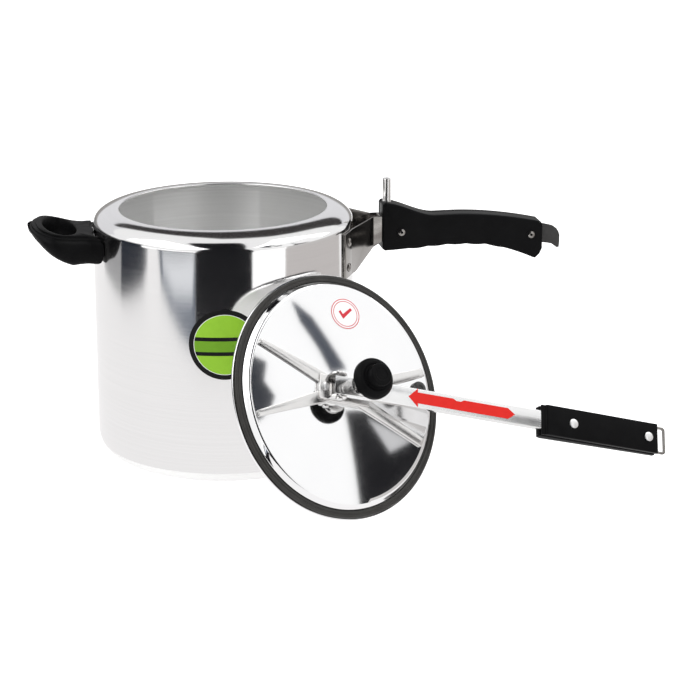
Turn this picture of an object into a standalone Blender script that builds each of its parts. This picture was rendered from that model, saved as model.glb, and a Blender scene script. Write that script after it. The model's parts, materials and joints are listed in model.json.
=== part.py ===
"""Inner-lid pressure cooker: pot standing on its base, lid off and leaning against it.

Metres, +Z up. The origin is the middle of the pot's flat bottom. +X runs along the
long handle. The lid, its lever and its weight are built flat in a frame of their own
(x along the lever, z out of the lid) that one empty sets in place.
"""
import math

import bmesh
import bpy
from mathutils import Matrix, Vector

# ---- pot
POT_RADIUS = 0.108
POT_HEIGHT = 0.2096
POT_WALL = 0.0025
POT_FLOOR = 0.0035
POT_CORNER = 0.020
SHOULDER_DROP = 0.0115       # from the rim of the mouth down to the straight wall
MOUTH_LONG = POT_RADIUS - 0.0216   # half length of the oval mouth, along the handles
MOUTH_SHORT = POT_RADIUS - 0.0286
LIP_ROUND = 0.0006

# ---- fits
GAP = 0.0003                 # between pieces that touch
FIT = 0.0003                 # between a shank and its hole, on the radius
SWING_GAP = 0.0005           # between the lever and its bracket

# ---- long handle and its bracket
SHEET = 0.0016
FLANGE_FROM = math.radians(24)
FLANGE_TO = math.radians(34)
BRACKET_TOP = POT_HEIGHT - 0.0141
BRACKET_BOTTOM = POT_HEIGHT - 0.0521
NECK_BOTTOM = POT_HEIGHT - 0.0361
NECK_HALF = 0.0082
HANDLE_LENGTH = 0.1392
HANDLE_START = POT_RADIUS + 0.0258
HANDLE_END = HANDLE_START + HANDLE_LENGTH
HANDLE_HALF = 0.0095
HANDLE_CREST = POT_HEIGHT - 0.0023     # its highest edge, at the root
HANDLE_FOOT = POT_HEIGHT - 0.0437      # its lower edge, at the root
TAIL_FALL = 0.0103           # how far the upper edge falls to the tail
TAIL_DROP = 0.0132           # how far the lower edge drops to the tail
SCALLOP = 0.0008
COVER_THICK = 0.0048
TANG_THICK = 0.0020
HOOK_REACH = 0.0175
GUIDE_PIN_RADIUS = 0.0035
GUIDE_PIN_X = HANDLE_START + 0.0052
GUIDE_PIN_TOP = POT_HEIGHT + 0.0170
GUIDE_PIN_FOOT = POT_HEIGHT - 0.0191
SCREW_RADIUS = 0.0020
SCREW_HEAD_RADIUS = 0.0037
SCREW_HEAD_DEPTH = 0.0016
SCREW_PLACES = ((HANDLE_START + 0.0164, POT_HEIGHT - 0.0284),
                (HANDLE_END - 0.0099, POT_HEIGHT - 0.0361))
RIVET_RADIUS = 0.0020
RIVET_HEAD = 0.0036
RIVET_HEIGHTS = (POT_HEIGHT - 0.0441, POT_HEIGHT - 0.0226)

# ---- helper handle
HELPER_TIP = POT_RADIUS + 0.054
HELPER_HALF = 0.0395
HELPER_BASE = POT_HEIGHT - 0.0366
HOLE_CENTRE = POT_RADIUS + 0.0282
HOLE_HALF_X = 0.0138
HOLE_HALF_Y = 0.0290
HELPER_PLATE_Z = (POT_HEIGHT - 0.0331, POT_HEIGHT - 0.0171)
HELPER_PLATE_SPREAD = math.radians(9)
HELPER_RIVET_SPREAD = math.radians(4)
# distance out from the pot, distance below the rim: its upper and its lower surface
HELPER_CROWN = ((-0.010, 0.0144), (0.004, 0.0139), (0.016, 0.0126), (0.030, 0.0101),
                (0.042, 0.0076), (0.050, 0.0061), (0.064, 0.0054))
HELPER_BELLY = ((0.020, 0.0367), (0.031, 0.0321), (0.042, 0.0246), (0.050, 0.0191),
                (0.054, 0.0146), (0.064, 0.0106))

# ---- lid
LID_SHORT = 0.0925           # half width along the lever
LID_LONG = 0.1018            # half width across it
LID_SHEET = 0.0020
GASKET_WIDTH = 0.0056
GASKET_HEIGHT = 0.0034
LIP_WIDTH = 0.0011
STEP_TOP = 0.0100
DOME_TOP = 0.0140
BRACE_THICK = 0.0020
BRACE_ARM = 0.0070
BRACE_REACH = (0.074, 0.030)
VENT_X = 0.0050
VENT_RADIUS = 0.0035
VENT_TOP = 0.0430
PIVOT_X = -0.0100
PIVOT_HEIGHT = 0.0255
PIVOT_RADIUS = 0.0020
CHEEK_LENGTH = 0.0130
CHEEK_RISE = 0.0050          # above the middle of the pivot pin
NUT_WALL = 0.0030
VALVE_X = 0.0700
VALVE_Y = 0.0150
VALVE_RADIUS = 0.0060

# ---- lever
LEVER_HALF = 0.0080
LEVER_DEPTH = 0.0045
LEVER_LENGTH = 0.1820
LEVER_LIFT = math.radians(2.5)
GRIP_LENGTH = 0.1115
GRIP_HALF = 0.0127
LOOP_LENGTH = 0.0095
LEVER_RIVETS = (0.2115, 0.2840)
LEVER_RIVET_HEAD = 0.0040
LEVER_TOP = 0.0026           # above the middle of the pivot pin
GRIP_CORE = 0.0008           # half the thickness of the flat strip through the grip
GRIP_SLOPE = 0.0033          # how much thinner the grip is at its end

# ---- weight
WEIGHT_REST = 0.0365         # height of its foot above the rim of the lid
WEIGHT_RADIUS = 0.0100
WEIGHT_HEIGHT = 0.0135
CAP_RADIUS = 0.0165
CAP_HEIGHT = 0.0085
KNOB_RADIUS = 0.0092
KNOB_HEIGHT = 0.0080

# ---- where the lid leans
LID_SIDE = Vector((0.40678, -0.91353, 0.0))     # from the pot's axis to the lid
LEAN_GAP = 0.0005
LID_NORMAL = Vector((0.3363, -0.7836, 0.5224))
LEVER_WAY = Vector((0.9326, 0.2000, -0.3004))

ROUND = 48                   # points around the pot and the lid
SMALL = 20                   # points around pins, tubes and heads


# ---- materials and helpers

def material(name, colour, roughness, metallic):
    mat = bpy.data.materials.new(name)
    mat.use_nodes = True
    shader = mat.node_tree.nodes["Principled BSDF"]
    shader.inputs["Base Color"].default_value = (*colour, 1.0)
    shader.inputs["Roughness"].default_value = roughness
    shader.inputs["Metallic"].default_value = metallic
    return mat


def new_object(name, mesh_data, colour=None, parent=None):
    mesh = bpy.data.meshes.new(name)
    mesh_data.to_mesh(mesh)
    mesh_data.free()
    mesh.shade_smooth()
    mesh.set_sharp_from_angle(angle=math.radians(35))
    obj = bpy.data.objects.new(name, mesh)
    bpy.context.collection.objects.link(obj)
    if colour:
        mesh.materials.append(colour)
    obj.parent = parent
    return obj


def loft(rings, loop=False):
    """Skin a stack of equal rings; a loop closes on itself, else flat ends close it."""
    bm = bmesh.new()
    layers = [[bm.verts.new(point) for point in ring] for ring in rings]
    pairs = list(zip(layers, layers[1:]))
    if loop:
        pairs.append((layers[-1], layers[0]))
    else:
        bm.faces.new(layers[0])
        bm.faces.new(layers[-1])
    for low, high in pairs:
        for i in range(len(low)):
            j = (i + 1) % len(low)
            bm.faces.new((low[i], low[j], high[j], high[i]))
    bmesh.ops.recalc_face_normals(bm, faces=bm.faces)
    return bm


def oval(half_x, half_y, z, count=ROUND):
    steps = (2 * math.pi * i / count for i in range(count))
    return [Vector((half_x * math.cos(a), half_y * math.sin(a), z)) for a in steps]


def turned(profile, count=SMALL, loop=False):
    return loft([oval(r, r, z, count) for r, z in profile], loop)


def prism(outline, low, high, along="Z"):
    """Extrude a flat outline; along Y the outline is in X and Z."""
    def at(point, level):
        if along == "Z":
            return Vector((point[0], point[1], level))
        if along == "Y":
            return Vector((point[0], level, point[1]))
        return Vector((level, point[0], point[1]))
    return loft([[at(p, low) for p in outline], [at(p, high) for p in outline]])


def arc(cx, cy, rx, ry, start, stop, steps):
    turn = [math.radians(start + (stop - start) * i / steps) for i in range(steps + 1)]
    return [(cx + rx * math.cos(a), cy + ry * math.sin(a)) for a in turn]


def cut(obj, *cutters):
    for cutter in cutters:
        cutter.hide_render = True
        cutter.display_type = "WIRE"
        mod = obj.modifiers.new("cut", "BOOLEAN")
        mod.operation = "DIFFERENCE"
        mod.solver = "EXACT"
        mod.object = cutter


def rod(name, radius, start, stop, parent=None, colour=None, count=SMALL):
    """A plain cylinder between two points."""
    start, stop = Vector(start), Vector(stop)
    obj = new_object(name, turned([(radius, 0), (radius, (stop - start).length)], count),
                     colour, parent)
    turn = (stop - start).to_track_quat("Z", "Y")
    obj.matrix_local = Matrix.Translation(start) @ turn.to_matrix().to_4x4()
    return obj


def place(obj, spot, direction):
    turn = Vector(direction).to_track_quat("Z", "Y")
    obj.matrix_local = Matrix.Translation(Vector(spot)) @ turn.to_matrix().to_4x4()
    return obj


def rivet(name, shank, head, thickness, colour, head_height=0.0014):
    """Two low heads on one shank; the thickness is what they hold, from z = 0 down."""
    top = [(head * math.cos(a), head_height * math.sin(a) + GAP)
           for a in (math.radians(d) for d in (70, 35, 0))]
    profile = top + [(shank, GAP), (shank, -thickness - GAP),
                     (head * 0.9, -thickness - GAP), (head * 0.7, -thickness - head_height)]
    return new_object(name, turned(profile, 12), colour)


# ---- the pot

def pot_body(mat):
    def shoulder_ring(degrees, inset):
        """From the oval mouth (0) to the round wall (90), one quarter turn."""
        turn = math.radians(degrees)
        share, fall = math.sin(turn), 1 - math.cos(turn)
        half = [mouth + LIP_ROUND * (inset > 0) + share * (POT_RADIUS - inset - mouth
                - LIP_ROUND * (inset > 0)) for mouth in (MOUTH_LONG, MOUTH_SHORT)]
        return oval(*half, POT_HEIGHT - inset - (SHOULDER_DROP - inset) * fall)

    corner = arc(POT_RADIUS - POT_CORNER, POT_CORNER, POT_CORNER, POT_CORNER, -90, 0, 5)
    inner_corner = arc(POT_RADIUS - POT_CORNER, POT_CORNER, POT_CORNER - POT_WALL,
                       POT_CORNER - POT_FLOOR, 0, -90, 5)
    turns = (90, 72, 56, 40, 24, 10)
    rings = [oval(r, r, z) for r, z in corner]
    rings += [shoulder_ring(turn, 0) for turn in turns]
    rings += [oval(MOUTH_LONG, MOUTH_SHORT, POT_HEIGHT - LIP_ROUND),
              oval(MOUTH_LONG, MOUTH_SHORT, POT_HEIGHT - POT_WALL + LIP_ROUND)]
    rings += [shoulder_ring(turn, POT_WALL) for turn in reversed(turns)]
    rings += [oval(r, r, z) for r, z in inner_corner]
    pot = new_object("pot_body", loft(rings), mat)
    for angle, height in rivet_places():
        cut(pot, radial_hole(angle, height, RIVET_RADIUS + FIT))
    for angle in helper_rivet_angles():
        cut(pot, radial_hole(angle, sum(HELPER_PLATE_Z) / 2, RIVET_RADIUS + FIT))
    return pot


def radial_hole(angle, height, radius):
    way = Vector((math.cos(angle), math.sin(angle), 0))
    level = Vector((0, 0, height))
    return rod("hole_cutter", radius, way * (POT_RADIUS - 0.012) + level,
               way * (POT_RADIUS + 0.006) + level, count=16)


def radial_rivet(name, angle, height, mat):
    way = Vector((math.cos(angle), math.sin(angle), 0))
    held = POT_WALL + GAP + SHEET + GAP
    piece = rivet(name, RIVET_RADIUS, RIVET_HEAD, held, mat)
    outer = POT_RADIUS + GAP + SHEET
    return place(piece, way * outer + Vector((0, 0, height)), way)


def rivet_places():
    angle = (FLANGE_FROM + FLANGE_TO) / 2
    return [(side * angle, height) for side in (-1, 1) for height in RIVET_HEIGHTS]


def helper_rivet_angles():
    return (math.pi - HELPER_RIVET_SPREAD, math.pi + HELPER_RIVET_SPREAD)


# ---- the long handle

def bracket_outline():
    """The bent strip seen from above: flange, side, neck, end plate, and back again."""
    near = POT_RADIUS + GAP
    start = HANDLE_START - GAP - SHEET

    def half(offset):
        radius = near + offset
        along = [(radius * math.cos(a), radius * math.sin(a))
                 for a in (FLANGE_TO + (FLANGE_FROM - FLANGE_TO) * i / 4 for i in range(5))]
        neck = NECK_HALF - SHEET + offset
        return along + [(start - 0.0065 + offset * 0.4, neck), (start + offset, neck)]

    outer = half(SHEET)
    inner = half(0.0)
    outside = outer + [(x, -y) for x, y in reversed(outer)]
    inside = inner + [(x, -y) for x, y in reversed(inner)]
    return outside + list(reversed(inside))


def handle_bracket(mat):
    bracket = new_object("handle_bracket", prism(bracket_outline(), BRACKET_BOTTOM, BRACKET_TOP),
                         mat)
    start = HANDLE_START - 0.010
    slope = [(POT_RADIUS - 0.030, BRACKET_BOTTOM - 0.010), (POT_RADIUS - 0.004, BRACKET_BOTTOM),
             (start - 0.004, BRACKET_BOTTOM + 0.0085), (start, NECK_BOTTOM),
             (HANDLE_START + 0.010, NECK_BOTTOM), (HANDLE_START + 0.010, BRACKET_BOTTOM - 0.010)]
    cut(bracket, new_object("bracket_cutter", prism(slope, -0.08, 0.08, "Y")))
    for angle, height in rivet_places():
        cut(bracket, radial_hole(angle, height, RIVET_RADIUS + FIT))
    return bracket


def handle_top(x):
    """Height of the long handle's upper edge, from its root to its tail."""
    along = (x - HANDLE_START) / (HANDLE_END - HANDLE_START)
    ease = min(1.0, along / 0.34)
    fall = 0.0128 * ease * ease * (3 - 2 * ease)
    tail = max(0.0, along - 0.45) / 0.55
    return HANDLE_CREST - fall - TAIL_FALL * tail ** 1.8


def handle_under(x):
    """Height of its lower edge: a hollow for the hand with shallow finger scallops."""
    along = (x - HANDLE_START) / (HANDLE_END - HANDLE_START)
    hollow = 0.0029 * math.sin(math.pi * min(1.0, along / 0.86)) ** 2
    tail = max(0.0, along - 0.62) / 0.33
    wave = 0.0
    if 0.16 < along < 0.76:
        wave = SCALLOP * abs(math.sin(math.pi * (along - 0.16) / 0.12))
    return HANDLE_FOOT + hollow - TAIL_DROP * min(1.0, tail) ** 1.7 - wave


def handle_outline():
    top = [HANDLE_START + 0.004 + (HANDLE_END - HANDLE_START - 0.006) * i / 18 for i in range(19)]
    under = [HANDLE_START + 0.004 + (HANDLE_END - HANDLE_START - 0.013) * i / 30
             for i in range(31)]
    points = [(HANDLE_START, HANDLE_FOOT + 0.0046), (HANDLE_START, HANDLE_CREST - 0.0018)]
    points += [(x, handle_top(x)) for x in top]
    points += [(HANDLE_END, handle_top(HANDLE_END) - 0.0025), (HANDLE_END, HANDLE_FOOT - 0.0034),
               (HANDLE_END - 0.003, HANDLE_FOOT - 0.0091)]
    points += [(x, handle_under(x)) for x in reversed(under)]
    return points


def tang_edges(grow):
    """Upper and lower edge of the flat steel core, from root to tail."""
    ends = (HANDLE_START + GAP, HANDLE_END - 0.068, HANDLE_END - 0.015, HANDLE_END + GAP)
    lower = (0.0361, 0.0351, 0.0441, 0.0456)
    upper = (0.0216, 0.0216, 0.0281, 0.0286)
    return ([(x, POT_HEIGHT - drop - grow) for x, drop in zip(ends, lower)],
            [(x, POT_HEIGHT - drop + grow) for x, drop in zip(ends, upper)])


def handle_pieces(bakelite, steel, black_steel):
    split = HANDLE_HALF - COVER_THICK
    body = new_object("handle_body", prism(handle_outline(), -HANDLE_HALF, split - GAP / 2, "Y"),
                      bakelite)
    cover = new_object("handle_cover", prism(handle_outline(), split + GAP / 2, HANDLE_HALF, "Y"),
                       bakelite)
    lower, upper = tang_edges(0.0)
    hook_x = HANDLE_END + HOOK_REACH
    claw = [(HANDLE_END + 0.0070, 0.0464), (HANDLE_END + 0.0105, 0.0472),
            (hook_x - 0.0026, 0.0506), (hook_x - 0.0004, 0.0506), (hook_x, 0.0396),
            (hook_x - 0.0020, 0.0348), (hook_x - 0.0066, 0.0311)]
    claw = [(x, POT_HEIGHT - drop) for x, drop in claw]
    tang = new_object("handle_hook_strip",
                      prism(lower + claw + list(reversed(upper)),
                            -TANG_THICK / 2, TANG_THICK / 2, "Y"), black_steel)
    slot_lower, slot_upper = tang_edges(GAP)
    slot_lower = [(HANDLE_START - 0.01, slot_lower[0][1])] + slot_lower + [
        (HANDLE_END + 0.01, slot_lower[-1][1])]
    slot_upper = [(HANDLE_START - 0.01, slot_upper[0][1])] + slot_upper + [
        (HANDLE_END + 0.01, slot_upper[-1][1])]
    slot = new_object("slot_cutter", prism(slot_lower + list(reversed(slot_upper)),
                                           -TANG_THICK / 2 - GAP, TANG_THICK / 2 + GAP, "Y"))
    pin_hole = rod("pin_hole_cutter", GUIDE_PIN_RADIUS + FIT,
                   (GUIDE_PIN_X, 0, GUIDE_PIN_FOOT - GAP), (GUIDE_PIN_X, 0, GUIDE_PIN_TOP))
    cut(body, slot, pin_hole)
    for (x, z), spot in zip(SCREW_PLACES, ("root", "tail")):
        bore = rod("screw_hole_cutter", SCREW_RADIUS + FIT, (x, -0.03, z), (x, 0.03, z), count=16)
        near = rod("screw_seat_cutter", SCREW_HEAD_RADIUS + FIT,
                   (x, -0.02, z), (x, SCREW_HEAD_DEPTH - HANDLE_HALF, z), count=18)
        far = rod("nut_seat_cutter", SCREW_HEAD_RADIUS + FIT,
                  (x, HANDLE_HALF - SCREW_HEAD_DEPTH, z), (x, 0.02, z), count=18)
        cut(body, bore, near)
        cut(cover, bore, far)
        cut(tang, bore)
        screw_profile = [(SCREW_HEAD_RADIUS - 0.0004, 0), (SCREW_HEAD_RADIUS, 0.0004),
                         (SCREW_HEAD_RADIUS, SCREW_HEAD_DEPTH - GAP),
                         (SCREW_RADIUS, SCREW_HEAD_DEPTH - GAP),
                         (SCREW_RADIUS, 2 * HANDLE_HALF - 0.0004)]
        screw = new_object("handle_screw_" + spot, turned(screw_profile, 16), steel)
        place(screw, (x, -HANDLE_HALF, z), (0, 1, 0))
        inner = SCREW_RADIUS + FIT
        nut_profile = [(inner, 0), (SCREW_HEAD_RADIUS, 0),
                       (SCREW_HEAD_RADIUS, SCREW_HEAD_DEPTH - GAP),
                       (inner, SCREW_HEAD_DEPTH - GAP)]
        nut = new_object("handle_nut_" + spot, turned(nut_profile, 16, loop=True), steel)
        place(nut, (x, HANDLE_HALF - SCREW_HEAD_DEPTH + GAP, z), (0, 1, 0))
    pin_profile = [(GUIDE_PIN_RADIUS, GUIDE_PIN_FOOT), (GUIDE_PIN_RADIUS, GUIDE_PIN_TOP - 0.0008),
                   (GUIDE_PIN_RADIUS - 0.0008, GUIDE_PIN_TOP)]
    pin = new_object("guide_pin", turned(pin_profile), steel)
    pin.location = (GUIDE_PIN_X, 0, 0)


# ---- the helper handle

def helper_half_outline():
    """Half of its outline from above, from the pot out to the tip (y positive)."""
    root = POT_RADIUS - 0.0060
    waist = HELPER_HALF - 0.0085
    widest = HOLE_CENTRE + 0.0050
    bulge = arc(-widest, 0, HELPER_TIP - widest, HELPER_HALF, 90, 180, 9)
    swell = [(-(POT_RADIUS + 0.0025 + (widest - POT_RADIUS - 0.0025) * s),
              waist + (HELPER_HALF - waist) * (s * s * (3 - 2 * s))) for s in (0.0, 0.25, 0.5, 0.75)]
    return [(-root, HELPER_HALF - 0.0045)] + swell + bulge


def helper_handle(mat):
    half = helper_half_outline()
    outline = half + [(x, -y) for x, y in reversed(half[:-1])]
    handle = new_object("helper_handle", prism(outline, HELPER_BASE, POT_HEIGHT), mat)
    high, low = POT_HEIGHT + 0.020, HELPER_BASE - 0.010
    crown = [(-POT_RADIUS - out, POT_HEIGHT - drop) for out, drop in HELPER_CROWN]
    crown += [(crown[-1][0], high), (crown[0][0], high)]
    belly = [(-POT_RADIUS - out, POT_HEIGHT - drop) for out, drop in HELPER_BELLY]
    belly += [(belly[-1][0], low), (belly[0][0], low)]
    hole = loft([[Vector((p.x - HOLE_CENTRE, p.y, p.z))
                  for p in oval(HOLE_HALF_X, HOLE_HALF_Y, z, 28)] for z in (low, high)])
    around_pot = turned([(POT_RADIUS + GAP, low), (POT_RADIUS + GAP, high)], ROUND)
    plate_room = new_object("helper_plate_cutter", helper_plate_shape(GAP))
    cut(handle, new_object("helper_crown_cutter", prism(crown, -0.06, 0.06, "Y")),
        new_object("helper_belly_cutter", prism(belly, -0.06, 0.06, "Y")),
        new_object("helper_hole_cutter", hole),
        new_object("helper_pot_cutter", around_pot), plate_room)
    for angle in helper_rivet_angles():
        way = Vector((math.cos(angle), math.sin(angle), 0))
        level = Vector((0, 0, sum(HELPER_PLATE_Z) / 2))
        cut(handle, rod("rivet_room_cutter", RIVET_HEAD + GAP, way * POT_RADIUS + level,
                        way * (POT_RADIUS + SHEET + 0.0030) + level, count=16))
    z = sum(HELPER_PLATE_Z) / 2
    bore = rod("helper_bore_cutter", SCREW_RADIUS + FIT, (-POT_RADIUS - 0.0015, 0, z),
               (-HOLE_CENTRE + HOLE_HALF_X / 2, 0, z), count=16)
    cut(handle, bore)
    return handle


def helper_plate_shape(grow):
    """A plate curved to the pot, with a threaded boss pointing out of its middle."""
    spread = HELPER_PLATE_SPREAD + grow / POT_RADIUS
    angles = [math.pi - spread + 2 * spread * i / 8 for i in range(9)]
    near = POT_RADIUS + (GAP if grow == 0 else -0.001)
    far = POT_RADIUS + GAP + SHEET + grow
    outline = [(near * math.cos(a), near * math.sin(a)) for a in angles]
    outline += [(far * math.cos(a), far * math.sin(a)) for a in reversed(angles)]
    return prism(outline, HELPER_PLATE_Z[0] - grow, HELPER_PLATE_Z[1] + grow)


def helper_fixings(steel):
    plate = new_object("helper_plate", helper_plate_shape(0.0), steel)
    z = sum(HELPER_PLATE_Z) / 2
    for angle, count in zip(helper_rivet_angles(), ("1", "2")):
        cut(plate, radial_hole(angle, z, RIVET_RADIUS + FIT))
        radial_rivet("helper_rivet_" + count, angle, z, steel)
    bore_face = HOLE_CENTRE - HOLE_HALF_X
    foot = POT_RADIUS + GAP + SHEET + GAP
    profile = [(SCREW_RADIUS, foot), (SCREW_RADIUS, bore_face + GAP),
               (SCREW_HEAD_RADIUS, bore_face + GAP), (SCREW_HEAD_RADIUS, bore_face + 0.0014),
               (SCREW_HEAD_RADIUS - 0.0008, bore_face + 0.0020)]
    screw = new_object("helper_screw", turned(profile, 16), steel)
    place(screw, (0, 0, z), (-1, 0, 0))


# ---- the lid, in its own frame

def dome(x, y, base=0.0):
    """Height of the lid's domed top above the plane of its rim."""
    inset = STEP_INSET + 0.0035
    share = (x / (LID_SHORT - inset)) ** 2 + (y / (LID_LONG - inset)) ** 2
    return base + DOME_TOP - (DOME_TOP - STEP_TOP) * min(1.0, share)


STEP_INSET = LIP_WIDTH + GASKET_WIDTH + 2 * GAP


def lid_ring(inset, z):
    return oval(LID_SHORT - inset, LID_LONG - inset, z)


def lid_plate(mat, frame):
    seat = LID_SHEET
    top = [(0.0, 0.0012), (0.0003, seat + 0.0008), (LIP_WIDTH, seat + 0.0008),
           (LIP_WIDTH, seat), (STEP_INSET, seat), (STEP_INSET, 0.0055),
           (STEP_INSET + 0.0012, STEP_TOP - 0.0018), (STEP_INSET + 0.0035, STEP_TOP)]
    rings = [lid_ring(inset, z) for inset, z in top]
    edge = STEP_INSET + 0.0035

    def dome_ring(share, drop):
        half_x, half_y = (LID_SHORT - edge) * share, (LID_LONG - edge) * share
        level = DOME_TOP - (DOME_TOP - STEP_TOP) * share * share - drop
        return oval(half_x, half_y, level)

    rings += [dome_ring(share, 0) for share in (0.85, 0.65, 0.4, 0.15)]
    rings += [dome_ring(share, LID_SHEET) for share in (0.15, 0.4, 0.65, 0.85, 0.97)]
    rings += [lid_ring(STEP_INSET + LID_SHEET, 0.0050), lid_ring(STEP_INSET + LID_SHEET, 0.0006),
              lid_ring(STEP_INSET + LID_SHEET - 0.0008, 0.0), lid_ring(0.0006, 0.0)]
    top_face = 11
    bm = bmesh.new()
    layers = [[bm.verts.new(point) for point in ring] for ring in rings]
    for k in range(len(layers)):
        low, high = layers[k], layers[(k + 1) % len(layers)]
        if k == top_face:
            bm.faces.new(low)
            bm.faces.new(high)
            continue
        for i in range(ROUND):
            j = (i + 1) % ROUND
            bm.faces.new((low[i], low[j], high[j], high[i]))
    bmesh.ops.recalc_face_normals(bm, faces=bm.faces)
    plate = new_object("lid_plate", bm, mat, frame)
    cut(plate, lid_hole(VENT_X, 0, VENT_RADIUS + FIT, frame),
        lid_hole(VALVE_X, VALVE_Y, VALVE_RADIUS * 0.6 + FIT, frame))
    for x in lid_rivet_places():
        cut(plate, lid_hole(x, 0, RIVET_RADIUS + FIT, frame))
    return plate


def lid_hole(x, y, radius, frame):
    return rod("lid_hole_cutter", radius, (x, y, -0.02), (x, y, 0.03), frame, count=16)


def lid_rivet_places():
    return (PIVOT_X - CHEEK_LENGTH / 2 - 0.0020, VENT_X + VENT_RADIUS + 0.0080)


def lid_gasket(mat, frame):
    low = LID_SHEET + GAP
    high = low + GASKET_HEIGHT
    inner, outer = STEP_INSET - GAP, LIP_WIDTH + GAP
    section = [(outer, low), (outer, high - 0.0012), (outer + 0.0012, high),
               (inner - 0.0012, high), (inner, high - 0.0012), (inner, low)]
    new_object("lid_gasket", loft([lid_ring(i, z) for i, z in section], loop=True), mat, frame)


def brace_outline():
    """Four arms, each from the hub out to its end, walked once around."""
    reach_x, reach_y = BRACE_REACH
    half = BRACE_ARM / 2
    hub_x, hub_y = 0.019, 0.0105
    length = math.hypot(reach_x - hub_x, reach_y - 0.0065)
    ux, uy = (reach_x - hub_x) / length, (reach_y - 0.0065) / length
    start_outer = (hub_x - 0.006, hub_y)
    shares = (0.25, 0.5, 0.75, 1.0)
    outer = [(start_outer[0] + (reach_x - uy * half - start_outer[0]) * s,
              start_outer[1] + (reach_y + ux * half - start_outer[1]) * s) for s in shares]
    start_inner = (hub_x + 0.004, 0.0035)
    inner = [(start_inner[0] + (reach_x + uy * half - start_inner[0]) * s,
              start_inner[1] + (reach_y - ux * half - start_inner[1]) * s) for s in shares]
    arm = [start_inner] + inner + list(reversed(outer)) + [start_outer]
    left = [(-x, y) for x, y in reversed(arm)]
    return arm + left + [(-x, -y) for x, y in arm] + [(x, -y) for x, y in reversed(arm)]


def lid_brace(mat, frame):
    """A stamped cross of steel that follows the dome."""
    outline = brace_outline()

    def level(x, y):
        return dome(x, y) + GAP + 0.0002

    low = [Vector((x, y, level(x, y))) for x, y in outline]
    high = [Vector((x, y, level(x, y) + BRACE_THICK)) for x, y in outline]
    bm = loft([low, high])
    bmesh.ops.triangulate(bm, faces=[f for f in bm.faces if len(f.verts) > 4])
    brace = new_object("lid_brace", bm, mat, frame)
    cut(brace, lid_hole(VENT_X, 0, VENT_RADIUS + FIT, frame))
    for x in lid_rivet_places():
        cut(brace, lid_hole(x, 0, RIVET_RADIUS + FIT, frame))
    return brace


def bracket_base():
    return DOME_TOP + GAP + 0.0002 + BRACE_THICK + GAP


def lid_bracket(mat, frame):
    """A U of steel: a base on the brace and two cheeks that hold the pivot pin."""
    base = bracket_base()
    cheek = LEVER_HALF + SWING_GAP
    side = cheek + SHEET
    section = [(-side, base), (side, base), (side, PIVOT_HEIGHT + CHEEK_RISE),
               (cheek, PIVOT_HEIGHT + CHEEK_RISE), (cheek, base + SHEET), (-cheek, base + SHEET),
               (-cheek, PIVOT_HEIGHT + CHEEK_RISE), (-side, PIVOT_HEIGHT + CHEEK_RISE)]
    ends = lid_rivet_places()
    bracket = new_object("lid_bracket", prism(section, ends[0] - 0.0048, ends[1] + 0.0048, "X"),
                         mat, frame)
    clear = [(PIVOT_X + CHEEK_LENGTH / 2, base + SHEET), (PIVOT_X + CHEEK_LENGTH / 2, 0.05),
             (ends[1] + 0.02, 0.05), (ends[1] + 0.02, base + SHEET)]
    behind = [(PIVOT_X - CHEEK_LENGTH / 2, base + SHEET), (PIVOT_X - CHEEK_LENGTH / 2, 0.05),
              (ends[0] - 0.02, 0.05), (ends[0] - 0.02, base + SHEET)]
    for shape in (clear, behind):
        cut(bracket, new_object("cheek_cutter", prism(shape, -0.02, 0.02, "Y"), parent=frame))
    cut(bracket, lid_hole(VENT_X, 0, VENT_RADIUS + FIT, frame),
        rod("pivot_hole_cutter", PIVOT_RADIUS + FIT, (PIVOT_X, -0.03, PIVOT_HEIGHT),
            (PIVOT_X, 0.03, PIVOT_HEIGHT), frame, count=16))
    for x in ends:
        cut(bracket, lid_hole(x, 0, RIVET_RADIUS + FIT, frame))
    return bracket


def lid_fittings(steel, brass, frame):
    base = bracket_base()
    for x, count in zip(lid_rivet_places(), ("1", "2")):
        under = DOME_TOP - LID_SHEET - 0.0006
        piece = rivet("lid_rivet_" + count, RIVET_RADIUS, RIVET_HEAD, base + SHEET - under, steel)
        piece.parent = frame
        piece.location = (x, 0, base + SHEET)
    side = LEVER_HALF + SWING_GAP + SHEET
    head = PIVOT_RADIUS + 0.0008
    profile = [(head, -side - 0.0016), (head, -side - GAP), (PIVOT_RADIUS, -side - GAP),
               (PIVOT_RADIUS, side + GAP), (head, side + GAP), (head, side + 0.0016)]
    pin = new_object("pivot_pin", turned(profile), steel, frame)
    place(pin, (PIVOT_X, 0, PIVOT_HEIGHT), (0, 1, 0))
    foot = DOME_TOP - LID_SHEET - 0.0016
    tube_bore = 0.0015
    tube = [(VENT_RADIUS, foot - 0.0080), (VENT_RADIUS, VENT_TOP - 0.0030),
            (VENT_RADIUS - 0.0012, VENT_TOP), (tube_bore, VENT_TOP), (tube_bore, foot - 0.0080)]
    vent = new_object("vent_tube", turned(tube, SMALL, loop=True), steel, frame)
    vent.location = (VENT_X, 0, 0)
    hex_nut("vent_nut", (VENT_X, 0), VENT_RADIUS + FIT,
            VENT_RADIUS + FIT + NUT_WALL, foot - 0.0045, foot - GAP,
            steel, frame)
    level = dome(VALVE_X, VALVE_Y)
    neck = VALVE_RADIUS * 0.6
    valve = [(neck, level - 0.0075), (neck, level + 0.0012), (VALVE_RADIUS, level + 0.0012),
             (VALVE_RADIUS, level + 0.0032), (VALVE_RADIUS - 0.0016, level + 0.0046)]
    plug = new_object("safety_valve", turned(valve), brass, frame)
    plug.location = (VALVE_X, VALVE_Y, 0)
    hex_nut("safety_valve_nut", (VALVE_X, VALVE_Y), neck + FIT, neck + FIT + NUT_WALL, level - 0.0070,
            level - 0.0038, steel, frame)


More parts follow.
